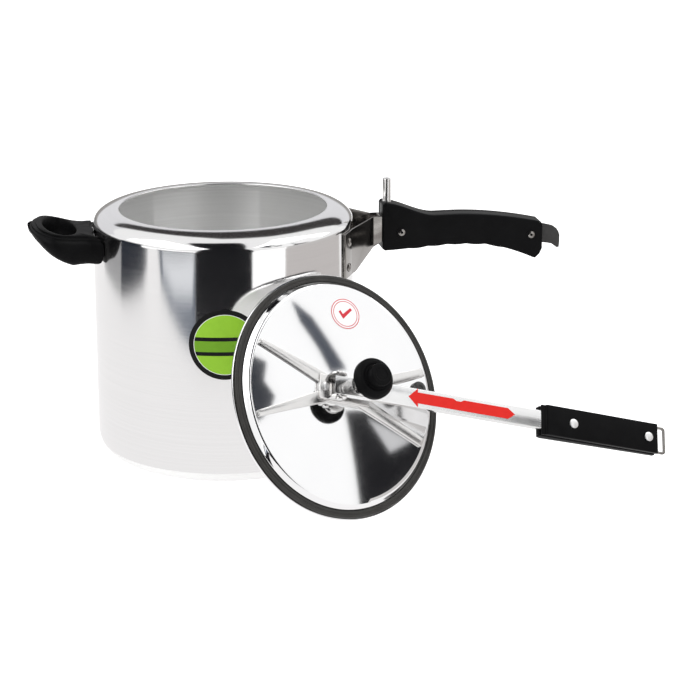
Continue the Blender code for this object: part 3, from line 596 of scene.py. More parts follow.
def make_handle(bakelite, steel, black_steel, screw_steel):
    body = finish_piece(handle_half(-HANDLE_HALF, COVER_FACE - GAP / 2, -HANDLE_HALF),
                        "handle_grip", bakelite)
    stands_for(body, "pot", "black_bakelite", "handle_body")
    cover = finish_piece(handle_half(COVER_FACE + GAP / 2, HANDLE_HALF, HANDLE_HALF),
                         "handle_back", bakelite)
    stands_for(cover, "pot", "black_bakelite", "handle_cover")
    hook_x = HANDLE_END + HOOK_REACH
    claw = [(HANDLE_END + 0.0020, 0.1640), (HANDLE_END + 0.0070, 0.1632),
            (HANDLE_END + 0.0105, 0.1624), (hook_x - 0.0040, 0.1600), (hook_x - 0.0026, 0.1590),
            (hook_x - 0.0004, 0.1590), (hook_x, 0.1640), (hook_x, 0.1700),
            (hook_x - 0.0010, 0.1728), (hook_x - 0.0028, 0.1757), (hook_x - 0.0066, 0.1785),
            (HANDLE_END + 0.0020, 0.1808)]
    strip = [(HANDLE_START + GAP, 0.1735), (HANDLE_END - 0.068, 0.1745),
             (HANDLE_END - 0.015, 0.1655)] + claw
    strip += [(HANDLE_END - 0.015, 0.1815), (HANDLE_END - 0.068, 0.1880), (HANDLE_START + GAP, 0.1880)]
    hook = finish_piece(soften(slab(strip, -TANG_HALF, TANG_HALF, "Y"), 0.0003, 50, 2),
                        "hook_strip", black_steel)
    stands_for(hook, "pot", "blackened_steel", "handle_hook_strip")
    pin = finish_piece(spun([(0, PIN_TOP - 0.03), (PIN_RADIUS, PIN_TOP - 0.03),
                             (PIN_RADIUS, PIN_TOP, 0.0007), (0, PIN_TOP)], 48),
                       "guide_peg", steel, Matrix.Translation((PIN_X, 0, 0)))
    stands_for(pin, "pot", "bright_steel", "guide_pin")
    for (x, z), spot in zip(SCREWS, ("root", "tail")):
        make_screw(x, z, spot, screw_steel, bakelite)


def make_screw(x, z, spot, steel, bakelite):
    """A round head with a small round recess in its middle, in a ring-shaped seat on the near side, a round
    nut on the far side.
    """
    ring = spun([(SCREW_HEAD + 0.0003, -0.0002), (SCREW_HEAD + 0.0003, 0.0003, 0.0002),
                 (SCREW_HEAD + 0.0012, 0.0001), (SCREW_HEAD + 0.0012, -0.0002)], 40, closed=True)
    near = facing((x, -HANDLE_HALF, z), (0, -1, 0))
    rim = finish_piece(ring, "screw_rim_" + spot, bakelite, near)
    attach(rim, "pot")
    head = spun([(0, -0.0003), (SCREW_HEAD - 0.0006, -0.0003), (SCREW_HEAD - 0.0006, -0.0001),
                 (SCREW_HEAD - 0.0012, 0.0002), (0.0012, 0.0003), (0.0009, -0.0002), (0, -0.0002)], 32)
    screw = finish_piece(head, "screw_head_" + spot, steel, near)
    stands_for(screw, "pot", "bright_steel", "handle_screw_" + spot)
    nut = spun([(0, 0), (SCREW_HEAD - 0.0003, 0), (SCREW_HEAD - 0.0003, 0.0004, 0.0002), (0, 0.0004)], 24)
    back = finish_piece(nut, "round_nut_" + spot, steel, facing((x, HANDLE_HALF - 0.0001, z), (0, 1, 0)))
    stands_for(back, "pot", "bright_steel", "handle_nut_" + spot)


def make_bracket(steel):
    """The bent strip between pot and grip: two flanges, two sides, a neck and an end plate."""
    near = POT_RADIUS + GAP
    start = HANDLE_START - GAP - SHEET

    def half(offset):
        radius = near + offset
        flange = [(radius * math.cos(a), radius * math.sin(a))
                  for a in (math.radians(FLANGE[1] + (FLANGE[0] - FLANGE[1]) * i / 6) for i in range(7))]
        neck = NECK_HALF - SHEET + offset
        return flange + [(start - 0.0065 + offset * 0.4, neck), (start + offset, neck)]

    outer, inner = half(SHEET), half(0.0)
    outline = outer + [(x, -y) for x, y in reversed(outer)]
    outline += inner_back(inner)
    bm = slab(outline, BRACKET_Z[0], BRACKET_Z[1])
    for plane, normal in (((HANDLE_START - 0.014, 0, BRACKET_Z[0] + 0.0085), (0.49, 0, -0.87)),):
        bmesh.ops.bisect_plane(bm, geom=bm.verts[:] + bm.edges[:] + bm.faces[:],
                               plane_co=plane, plane_no=normal, clear_outer=True)
        bmesh.ops.holes_fill(bm, edges=[e for e in bm.edges if e.is_boundary])
    soften(bm, 0.0004, 40, 2)
    bracket = finish_piece(bm, "handle_mount", steel)
    stands_for(bracket, "pot", "bright_steel", "handle_bracket")
    count = 0
    middle = math.radians(sum(FLANGE) / 2)
    for side in (-1, 1):
        for height in BRACKET_RIVETS:
            count += 1
            way = Vector((math.cos(side * middle), math.sin(side * middle), 0))
            spot = way * (POT_RADIUS + GAP + SHEET) + Vector((0, 0, height))
            head = spun([(0.0036, 0.0001), (0.0035, 0.0006), (0.0027, 0.0013), (0.0012, 0.0016),
                         (0, 0.0017)], 32)
            bmesh.ops.holes_fill(head, edges=[e for e in head.edges if e.is_boundary])
            rivet = finish_piece(head, "mount_rivet_%d" % count, steel, facing(spot, way))
            stands_for(rivet, "pot", "bright_steel", "bracket_rivet_%d" % count)


def inner_back(inner):
    return [(x, -y) for x, y in inner] + list(reversed(inner))


# ---- the helper handle

def helper_outline():
    """The grip seen from above, from its root round the tip and back."""
    root = POT_RADIUS - 0.0060
    waist = HELPER_HALF - 0.0085
    widest = HOLE_CENTRE + 0.0050
    bulge = arc(-widest, 0, HELPER_TIP - widest, HELPER_HALF, 90, 180, 20)
    swell = [(-(POT_RADIUS + 0.0025 + (widest - POT_RADIUS - 0.0025) * s),
              waist + (HELPER_HALF - waist) * (s * s * (3 - 2 * s)))
             for s in (i / 10 for i in range(10))]
    half = [(-root, HELPER_HALF - 0.0045)] + swell + bulge
    return half + [(x, -y) for x, y in reversed(half[:-1])]


def reach(outline, turn):
    """Distance from the hole's centre to the outline, or to the pot, in one direction."""
    way = Vector((math.cos(turn), math.sin(turn)))
    centre = Vector((-HOLE_CENTRE, 0))
    best = 1.0
    for start, stop in zip(outline, outline[1:] + outline[:1]):
        a, b = Vector(start) - centre, Vector(stop) - centre
        edge = b - a
        cross = way.x * edge.y - way.y * edge.x
        if abs(cross) < 1e-12:
            continue
        far = (a.x * edge.y - a.y * edge.x) / cross
        share = (a.x * way.y - a.y * way.x) / cross
        if far > 0 and -0.0001 <= share <= 1.0001:
            best = min(best, far)
    clear = POT_RADIUS + GAP
    along = centre.dot(way)
    inside = along * along - centre.length_squared + clear * clear
    if inside > 0 and -along - math.sqrt(inside) > 0:
        best = min(best, -along - math.sqrt(inside))
    return best


def crown(x):
    """Height of the helper handle's top: level at the pot, rising to the tip."""
    out = -x - POT_RADIUS
    for (near, low), (far, high) in zip(HELPER_CROWN, HELPER_CROWN[1:]):
        if out <= far:
            return low + (high - low) * max(0.0, out - near) / (far - near)
    return HELPER_CROWN[-1][1]


def belly(x):
    """Height of its underside: flat near the pot, then swept up to the tip."""
    out = max(0.0, -x - 0.128)
    return HELPER_BASE + 0.42 * out + 8.0 * out * out


def make_helper(bakelite):
    outline = helper_outline()
    turns = [math.tau * i / 120 for i in range(120)]
    reaches = [reach(outline, turn) for turn in turns]

    def ring(inset, height, pot_inset=0.0):
        points = []
        for turn, far in zip(turns, reaches):
            toward_pot = max(0.0, math.cos(turn)) ** 6
            out = far - inset * (1 - toward_pot) - pot_inset * toward_pot
            x, y = -HOLE_CENTRE + out * math.cos(turn), out * math.sin(turn)
            points.append((x, y, height(x)))
        return points

    def hole(grow, height):
        points = []
        for turn in turns:
            a, b = HOLE_HALF[0] + grow, HOLE_HALF[1] + grow
            out = a * b / math.hypot(b * math.cos(turn), a * math.sin(turn))
            x, y = -HOLE_CENTRE + out * math.cos(turn), out * math.sin(turn)
            points.append((x, y, height(x)))
        return points

    def top(drop):
        return lambda x: crown(x) - drop

    def foot(lift):
        return lambda x: belly(x) + lift

    def between(share):
        return lambda x: belly(x) + (crown(x) - belly(x)) * share

    rings = [hole(0.0, top(0.0008)), hole(0.0007, top(0.0001)), hole(0.0014, top(0.0)),
             ring(0.0074, top(0.0)), ring(0.0068, top(0.0003)), ring(0.0066, top(0.0014)),
             ring(0.0060, top(0.0017)), ring(0.0042, top(0.0019)), ring(0.0037, top(0.0022)),
             ring(0.0035, top(0.0036)), ring(0.0030, top(0.0040)), ring(0.0018, top(0.0046)),
             ring(0.0006, top(0.0062)), ring(0.0, between(0.55)), ring(0.0004, between(0.35)),
             ring(0.0020, between(0.15)), ring(0.0040, foot(0.0012)), ring(0.0065, foot(0.0)),
             hole(0.0014, foot(0.0)), hole(0.0, foot(0.0010)), hole(-0.0003, between(0.5))]
    helper = finish_piece(lofted(rings, closed=True), "helper_grip", bakelite, sharp=48)
    stands_for(helper, "pot", "black_bakelite", "helper_handle")


# ---- the lid

def oval_place(bm):
    """Turns a round blank into the lid's oval, keeping the rim's widths."""
    wide = LID_HALF[1] - LID_HALF[0]
    for vert in bm.verts:
        radius = math.hypot(vert.co.x, vert.co.y)
        if radius > 0.0000001:
            share = min(1.0, radius / (LID_HALF[1] - EDGE))
            vert.co.x *= (radius - wide * share) / radius


def dome(x, y):
    """Height of the lid's dome above its rim plane."""
    share = (x / (LID_HALF[0] - EDGE)) ** 2 + (y / (LID_HALF[1] - EDGE)) ** 2
    return DOME_TOP - (DOME_TOP - STEP_TOP) * min(1.0, share)


def make_lid(mirror, satin, rubber):
    out = LID_HALF[1]
    top = [(0.0000, 0.0010), (0.0001, 0.0024), (0.0004, 0.0028), (0.0008, 0.0028),
           (LIP_WIDTH, 0.0024), (LIP_WIDTH, LID_SHEET), (STEP_INSET, LID_SHEET),
           (STEP_INSET, 0.0050)]
    profile = [(out - inset, height) for inset, height in top]
    profile += arc(out - STEP_INSET - 0.0016, 0.0050, 0.0016, 0.0018, 0, 50, 4)[1:]
    edge = out - EDGE
    profile += [(edge + 0.0014, STEP_TOP - 0.0020), (edge + 0.0008, STEP_TOP - 0.0009),
                (edge + 0.0003, STEP_TOP - 0.0003)]
    shares = (1.0, 0.97, 0.93, 0.88, 0.8, 0.7, 0.58, 0.45, 0.3, 0.15, 0.0)
    rise = DOME_TOP - STEP_TOP
    profile += [(edge * s, DOME_TOP - rise * s * s) for s in shares]
    profile += [(edge * s, DOME_TOP - rise * s * s - LID_SHEET) for s in reversed(shares[1:])]
    profile += [(out - STEP_INSET - LID_SHEET, 0.0050), (out - STEP_INSET - LID_SHEET, 0.0006),
                (out - STEP_INSET - LID_SHEET + 0.0008, 0.0), (out - 0.0006, 0.0)]
    bm = spun(profile + [profile[0]], 160)
    oval_place(bm)
    bmesh.ops.recalc_face_normals(bm, faces=bm.faces)
    for face in bm.faces:
        face.material_index = 1 if face.normal.z < -0.2 else 0
    lid = finish_piece(bm, "lid_pressing", [mirror, satin], LID, sharp=40)
    stands_for(lid, "lid", "polished_aluminium", "lid_plate")
    low = LID_SHEET + GAP
    high = low + GASKET_HEIGHT
    inner, outer = out - STEP_INSET + GAP, out - LIP_WIDTH - GAP
    ring = spun([(outer, low), (outer, high, 0.0011), ((inner + outer) / 2 + 0.0006, high),
                 ((inner + outer) / 2, high - 0.0005, 0.0003),
                 ((inner + outer) / 2 - 0.0006, high), (inner, high, 0.0008), (inner, low)],
                160, closed=True)
    oval_place(ring)
    gasket = finish_piece(ring, "lid_seal", rubber, LID)
    stands_for(gasket, "lid", "grey_rubber", "lid_gasket")


def brace_outline():
    """A cross of four arms; the two on one side are slimmer."""
    reach_x, reach_y = BRACE_REACH
    hub_x, hub_y = 0.019, 0.0105
    length = math.hypot(reach_x - hub_x, reach_y - 0.0065)
    ux, uy = (reach_x - hub_x) / length, (reach_y - 0.0065) / length
    steps = [i / 12 for i in range(1, 13)]

    def arm(half):
        start_outer, start_inner = (hub_x - 0.006, hub_y), (hub_x + 0.004, 0.0035)
        outer = [(start_outer[0] + (reach_x - uy * half - start_outer[0]) * s,
                  start_outer[1] + (reach_y + ux * half - start_outer[1]) * s) for s in steps]
        inner = [(start_inner[0] + (reach_x + uy * half - start_inner[0]) * s,
                  start_inner[1] + (reach_y - ux * half - start_inner[1]) * s) for s in steps]
        return [start_inner] + inner + list(reversed(outer)) + [start_outer]

    wide, slim = arm(BRACE_ARM / 2), arm(BRACE_ARM / 3)
    left = [(-x, y) for x, y in reversed(slim)]
    return wide + left + [(-x, -y) for x, y in slim] + [(x, -y) for x, y in reversed(wide)]


def make_brace(steel):
    bm = slab(brace_outline(), 0.0, BRACE_THICK)
    soften(bm, 0.0006, 40, 3)
    for x in [0.01 * i for i in range(-8, 9)]:
        bmesh.ops.bisect_plane(bm, geom=bm.verts[:] + bm.edges[:] + bm.faces[:],
                               plane_co=(x, 0, 0), plane_no=(1, 0, 0))
    for vert in bm.verts:
        vert.co.z += dome(vert.co.x, vert.co.y) + GAP + 0.0002
    brace = finish_piece(bm, "lid_cross", steel, LID)
    stands_for(brace, "lid", "bright_steel", "lid_brace")


def make_lid_fittings(steel, bright, dark):
    """The lever's bracket, its pin and rivets, the steam tube and the safety valve."""
    base = DOME_TOP + GAP + 0.0002 + BRACE_THICK + GAP
    cheek = LEVER_HALF + 0.0005
    ends = (PIVOT_X - 0.0085, VENT_X + 0.0115)
    bm = slab([(ends[0] - 0.0048, -cheek - SHEET), (ends[1] + 0.0048, -cheek - SHEET),
               (ends[1] + 0.0048, cheek + SHEET), (ends[0] - 0.0048, cheek + SHEET)],
              base, base + SHEET)
    soften(bm, 0.0005, 40, 3)
    for side in (-1, 1):
        near, far = sorted((side * cheek, side * (cheek + SHEET)))
        top = PIVOT_HEIGHT + 0.0050
        left, right = PIVOT_X - 0.0065, PIVOT_X + 0.0065
        outline = [(left, base + 0.0002), (left, PIVOT_HEIGHT)]
        outline += [(PIVOT_X + x, z) for x, z in
                    arc(0, PIVOT_HEIGHT, 0.0065, 0.0050, 180, 0, 12)[1:-1]]
        outline += [(right, PIVOT_HEIGHT), (right, base + 0.0002)]
        ear = soften(slab(outline, near, far, "Y"), 0.0003, 40, 2)
        spare = bpy.data.meshes.new("ear")
        ear.to_mesh(spare)
        ear.free()
        bm.from_mesh(spare)
        bpy.data.meshes.remove(spare)
        assert top > base
    bracket = finish_piece(bm, "lever_mount", steel, LID)
    stands_for(bracket, "lid", "bright_steel", "lid_bracket")
    side = cheek + SHEET
    pin = spun([(0, -side - 0.0016), (0.0028, -side - 0.0016, 0.0004), (0.0028, -side),
                (PIVOT_RADIUS, -side), (PIVOT_RADIUS, side), (0.0028, side),
                (0.0028, side + 0.0016, 0.0004), (0, side + 0.0016)], 32)
    turn = LID @ facing((PIVOT_X, 0, PIVOT_HEIGHT), (0, 1, 0))
    stands_for(finish_piece(pin, "hinge_pin", steel, turn), "lid", "bright_steel", "pivot_pin")
    for x, count in zip(ends, ("1", "2")):
        head = spun([(0.0036, 0), (0.0034, 0.0006), (0.0024, 0.0012), (0.0010, 0.0014), (0, 0.0014)], 32)
        bmesh.ops.holes_fill(head, edges=[e for e in head.edges if e.is_boundary])
        spot = LID @ Matrix.Translation((x, 0, base + SHEET + GAP))
        stands_for(finish_piece(head, "mount_stud_" + count, bright, spot), "lid",
                   "bright_steel", "lid_rivet_" + count)
    foot = DOME_TOP - LID_SHEET - 0.0096
    tube = spun([(VENT_RADIUS, foot), (VENT_RADIUS, VENT_TOP - 0.0030, 0.0004),
                 (VENT_RADIUS - 0.0012, VENT_TOP, 0.0003), (0.0015, VENT_TOP), (0.0015, foot)],
                40, closed=True)
    spot = LID @ Matrix.Translation((VENT_X, 0, 0))
    stands_for(finish_piece(tube, "steam_tube", bright, spot), "lid", "bright_steel", "vent_tube")
    level = dome(*VALVE)
    valve = spun([(0, level - 0.0075), (0.0036, level - 0.0075), (0.0036, level + 0.0002),
                  (VALVE_RADIUS, level + 0.0002), (VALVE_RADIUS, level + 0.0030, 0.0005),
                  (0.0042, level + 0.0046, 0.0006), (0.0022, level + 0.0046),
                  (0.0018, level + 0.0038), (0, level + 0.0038)], 48)
    spot = LID @ Matrix.Translation((*VALVE, 0))
    stands_for(finish_piece(valve, "safety_plug", dark, spot), "lid", "valve_metal", "safety_valve")


# ---- the lever

def make_lever(steel, bakelite, bright, loop_steel):
    """The channel bar, the two halves of its grip, the loop strip and the grip's rivets."""
    half, inner, low = LEVER_HALF, LEVER_HALF - SHEET, LEVER_TOP - LEVER_DEPTH
    section = [(-half, low), (-half, LEVER_TOP), (half, LEVER_TOP), (half, low), (inner, low),
               (inner, LEVER_TOP - SHEET), (-inner, LEVER_TOP - SHEET), (-inner, low)]
    bm = slab(section, -0.0045, LEVER_LENGTH, "X")

    def long_edge(edge):
        a, b = edge.verts
        return abs(a.co.x - b.co.x) > 0.01 and abs(a.co.y) > half - 0.0001 and a.co.z > low + 0.001

    soften(bm, 0.0011, 30, 4, long_edge)
    for x in (0.0098, 0.0202):
        bmesh.ops.bisect_plane(bm, geom=bm.verts[:] + bm.edges[:] + bm.faces[:],
                               plane_co=(x, 0, 0), plane_no=(1, 0, 0))
    bar = finish_piece(bm, "lever_channel", steel, LEVER)
    stands_for(bar, "lever", "bright_steel", "lever_bar")
    start, stop = LEVER_LENGTH + GAP, LEVER_LENGTH + GRIP_LENGTH
    shift, core = LEVER_TOP - 0.0024, 0.0008
    upper = [(start, shift + core + GAP), (start, shift + 0.0030), (start + 0.0035, shift + 0.0030),
             (start + 0.0035, shift + 0.0040), (start + 0.0050, shift + 0.0050),
             (stop, shift + 0.0044), (stop, shift + core + GAP)]
    lower = [(start, shift - core - GAP), (stop, shift - core - GAP), (stop, shift - 0.0052),
             (start + 0.0040, shift - 0.0085), (start, shift - 0.0070)]
    for outline, name, node in ((upper, "grip_upper", "lever_grip_top"),
                                (lower, "grip_lower", "lever_grip_bottom")):
        bm = slab(outline, -GRIP_HALF, GRIP_HALF, "Y")
        soften(bm, 0.0006, 25, 3)
        stands_for(finish_piece(bm, name, bakelite, LEVER), "lever", "black_bakelite", node)
    make_loop(start + GAP, stop, shift, core, loop_steel)
    for x, count in zip(LEVER_RIVETS, ("1", "2")):
        top = shift + 0.0051
        head = spun([(0.0040, 0), (0.0039, 0.0005), (0.0031, 0.0009), (0.0014, 0.0011), (0, 0.0011)], 40)
        bmesh.ops.holes_fill(head, edges=[e for e in head.edges if e.is_boundary])
        under = spun([(0.0036, 0), (0.0035, -0.0004), (0.0026, -0.0009), (0, -0.0010)], 32)
        bmesh.ops.holes_fill(under, edges=[e for e in under.edges if e.is_boundary])
        fall = 0.0085 - 0.0033 * (x - start) / GRIP_LENGTH
        bmesh.ops.translate(under, verts=under.verts, vec=(0, 0, shift - fall - top))
        spare = bpy.data.meshes.new("spare")
        under.to_mesh(spare)
        under.free()
        head.from_mesh(spare)
        bpy.data.meshes.remove(spare)
        piece = finish_piece(head, "grip_rivet_" + count, bright, LEVER @ Matrix.Translation((x, 0, top)))
        stands_for(piece, "lever", "rivet_aluminium", "lever_rivet_" + count)


def make_loop(start, stop, level, core, steel):
    """The flat strip through the grip, opened into a rounded square loop at its end."""
    half, wide, bar = LEVER_HALF - 0.0005, GRIP_HALF - 0.0008, 0.0022
    far = stop + LOOP_LENGTH
    inner_start = stop + 0.0012
    outer = [(inner_start - 0.001, -wide), (far - 0.003, -wide)]
    outer += arc(far - 0.003, -wide + 0.003, 0.003, 0.003, -90, 0, 6)[1:]
    outer += arc(far - 0.003, wide - 0.003, 0.003, 0.003, 0, 90, 6)
    outer += [(inner_start - 0.001, wide)]
    inner = [(inner_start - 0.001, wide - bar), (far - bar - 0.001, wide - bar)]
    inner += [(far - bar, wide - bar - 0.001), (far - bar, -wide + bar + 0.001)]
    inner += [(far - bar - 0.001, -wide + bar), (inner_start - 0.001, -wide + bar)]
    bm = soften(slab(outer + inner, level - core, level + core), 0.0004, 40, 2)
    tang = slab([(start, -half), (stop - 0.012, -half), (stop - 0.004, -wide),
                 (inner_start, -wide), (inner_start, wide), (stop - 0.004, wide),
                 (stop - 0.012, half), (start, half)], level - core, level + core)
    spare = bpy.data.meshes.new("spare")
    tang.to_mesh(spare)
    tang.free()
    bm.from_mesh(spare)
    bpy.data.meshes.remove(spare)
    piece = finish_piece(bm, "latch_loop", steel, LEVER)
    stands_for(piece, "lever", "bright_steel", "lever_latch_loop")


def make_arrow(red, pale):
    """A plain printed arrow on the lever."""
    level = LEVER_TOP + 0.0001
    outline = [(0.050, 0), (0.0585, 0.0079), (0.0585, 0.0046), (0.0905, 0.0046), (0.0935, 0.0030),
               (0.0975, 0.0030), (0.1005, 0.0046), (0.141, 0.0046), (0.1475, 0), (0.141, -0.0046),
               (0.0585, -0.0046), (0.0585, -0.0079)]
    bm = bmesh.new()
    face = bm.faces.new([bm.verts.new((x - PIVOT_X, y, level)) for x, y in outline])
    made = bmesh.ops.inset_region(bm, faces=[face], thickness=0.0006, depth=0.0)
    for rim in made["faces"]:
        rim.material_index = 1
    arrow = finish_piece(bm, "lever_arrow", [red, pale], LEVER)
    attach(arrow, "lever")


def make_tick(white, red, grey):
    """A round white sticker with a red ring and a tick."""
    radius = 0.0132
    bm = spun([(0, 0), (0.0104, 0), (0.0110, 0), (0.0122, 0), (0.0129, 0), (radius, 0)], 64)
    for face in bm.faces:
        out = math.hypot(*face.calc_center_median()[:2])
        face.material_index = 1 if 0.0122 < out < 0.0129 or 0.0104 < out < 0.0110 else 0
    tick = [(-0.0062, 0.0008), (-0.0046, 0.0024), (-0.0022, -0.0006), (0.0044, 0.0058),
            (0.0062, 0.0044), (-0.0020, -0.0048)]
    mark = bm.faces.new([bm.verts.new((x, y, 0.00006)) for x, y in tick])
    mark.material_index = 1
    for vert in bm.verts:
        vert.co.x += 0.0020
        vert.co.y += 0.0668
        vert.co.z += dome(vert.co.x, vert.co.y) + 0.00012
    sticker = finish_piece(bm, "lid_tick", [white, red, grey], LID)
    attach(sticker, "lid")


# ---- the weight

def make_weight(steel, bakelite):
    """A bored barrel with a waist, and a stepped round cap on top."""
    bore = VENT_RADIUS + 0.0006
    depth = VENT_TOP - WEIGHT_REST + 0.0010
    body = spun([(0, depth), (bore, depth), (bore, 0), (WEIGHT_RADIUS, 0, 0.0008),
                 (WEIGHT_RADIUS, 0.0045), (WEIGHT_RADIUS - 0.0007, 0.0052),
                 (WEIGHT_RADIUS - 0.0007, 0.0060), (WEIGHT_RADIUS, 0.0067),
                 (WEIGHT_RADIUS, WEIGHT_HEIGHT), (0, WEIGHT_HEIGHT)], 56)
    stands_for(finish_piece(body, "weight_barrel", steel, WEIGHT), "weight", "bright_steel",
               "weight_body")
    low = WEIGHT_HEIGHT + GAP
    high = low + CAP_HEIGHT
    top = high + KNOB_HEIGHT
    cap = spun([(0, low), (CAP_RADIUS, low, 0.0010), (CAP_RADIUS, high - 0.0030, 0.0012),
                (CAP_RADIUS - 0.0030, high, 0.0010), (KNOB_RADIUS + 0.0022, high, 0.0004),
                (KNOB_RADIUS + 0.0012, high - 0.0006, 0.0003), (KNOB_RADIUS, high - 0.0004, 0.0003),
                (KNOB_RADIUS, top, 0.0012), (0.0052, top, 0.0004), (0.0048, top - 0.0005, 0.0002),
                (0, top - 0.0005)], 80)
    stands_for(finish_piece(cap, "weight_knob", bakelite, WEIGHT), "weight", "black_bakelite",
               "weight_cap")


# ---- studio

def glow(name, colour, strength):
    """A surface that gives off light and nothing else."""
    look = bpy.data.materials.new(name)
    look.use_nodes = True
    tree = look.node_tree
    tree.nodes.clear()
    out = tree.nodes.new("ShaderNodeOutputMaterial")
    light = tree.nodes.new("ShaderNodeEmission")
    light.inputs["Color"].default_value = (*colour, 1.0)
    light.inputs["Strength"].default_value = strength
    tree.links.new(light.outputs[0], out.inputs[0])
    return look


def card(name, corners, colour, strength=1.0):
    """A flat studio card that only mirrors see."""
    bm = bmesh.new()
    bm.faces.new([bm.verts.new(corner) for corner in corners])
    mesh = bpy.data.meshes.new(name)
    bm.to_mesh(mesh)
    bm.free()
    mesh.materials.append(glow(name, colour, strength))
    obj = bpy.data.objects.new(name, mesh)
    bpy.context.collection.objects.link(obj)
    obj.visible_camera = False
    obj.visible_diffuse = False
    obj.visible_shadow = False
    obj.visible_transmission = False
    obj.visible_volume_scatter = False
    return obj


def make_camera():
    level = math.cos(VIEW_PITCH)
    way = Vector((math.sin(VIEW_YAW) * level, math.cos(VIEW_YAW) * level, -math.sin(VIEW_PITCH)))
    data = bpy.data.cameras.new("camera")
    data.lens = LENS
    data.sensor_width = 36.0
    data.clip_start = 0.05
    data.clip_end = 60.0
    camera = bpy.data.objects.new("camera", data)
    camera.location = CAMERA
    camera.rotation_euler = way.to_track_quat("-Z", "Y").to_euler()
    bpy.context.collection.objects.link(camera)
    bpy.context.scene.camera = camera


def make_floor():
    """A white studio floor, lifted a little so that shadows stay faint."""
    f = Finish("studio_floor", (0.93, 0.93, 0.93), 0.9, 0.0, Specular_IOR_Level=0.0,
               Emission_Strength=0.5)
    mottle = f.noise(f.place(), 3.0, 3.0)
    f.feed("Base Color", f.blend(mottle, (0.925, 0.925, 0.925), (0.945, 0.945, 0.945)))
    f.feed("Emission Color", f.blend(mottle, (0.99, 0.99, 0.99), (1.0, 1.0, 1.0)))
    bm = bmesh.new()
    bmesh.ops.create_grid(bm, x_segments=1, y_segments=1, size=12.0)
    mesh = bpy.data.meshes.new("studio_floor")
    bm.to_mesh(mesh)
    bm.free()
    mesh.materials.append(f.material)
    floor = bpy.data.objects.new("studio_floor", mesh)
    floor.location.z = -0.0003
    bpy.context.collection.objects.link(floor)


def make_lights():
    """Even white surroundings and one soft lamp overhead that mirrors don't show."""
    world = bpy.data.worlds.new("studio")
    world.use_nodes = True
    back = world.node_tree.nodes["Background"]
    back.inputs["Color"].default_value = (1.0, 1.0, 1.0, 1.0)
    back.inputs["Strength"].default_value = 1.0
    bpy.context.scene.world = world
    bpy.context.scene.view_settings.view_transform = "Standard"
    data = bpy.data.lights.new("overhead", "AREA")
    data.shape = "RECTANGLE"
    data.size = 2.4
    data.size_y = 2.0
    data.energy = 12.0
    lamp = bpy.data.objects.new("overhead", data)
    lamp.location = (0.1, -0.1, 2.2)
    lamp.visible_glossy = False
    bpy.context.collection.objects.link(lamp)


def lid_card(name, corners, distance, colour, strength=1.0):
    """A card in the direction the lid mirrors to the viewer, by its own two axes."""
    way = Vector((0.742, -0.375, 0.555)).normalized()
    right = Vector((0, 0, 1)).cross(way).normalized()
    up = way.cross(right)
    centre = LID.to_translation() + way * distance
    size = distance / 1.5
    card(name, [centre + right * x * size + up * y * size for x, y in corners], colour, strength)


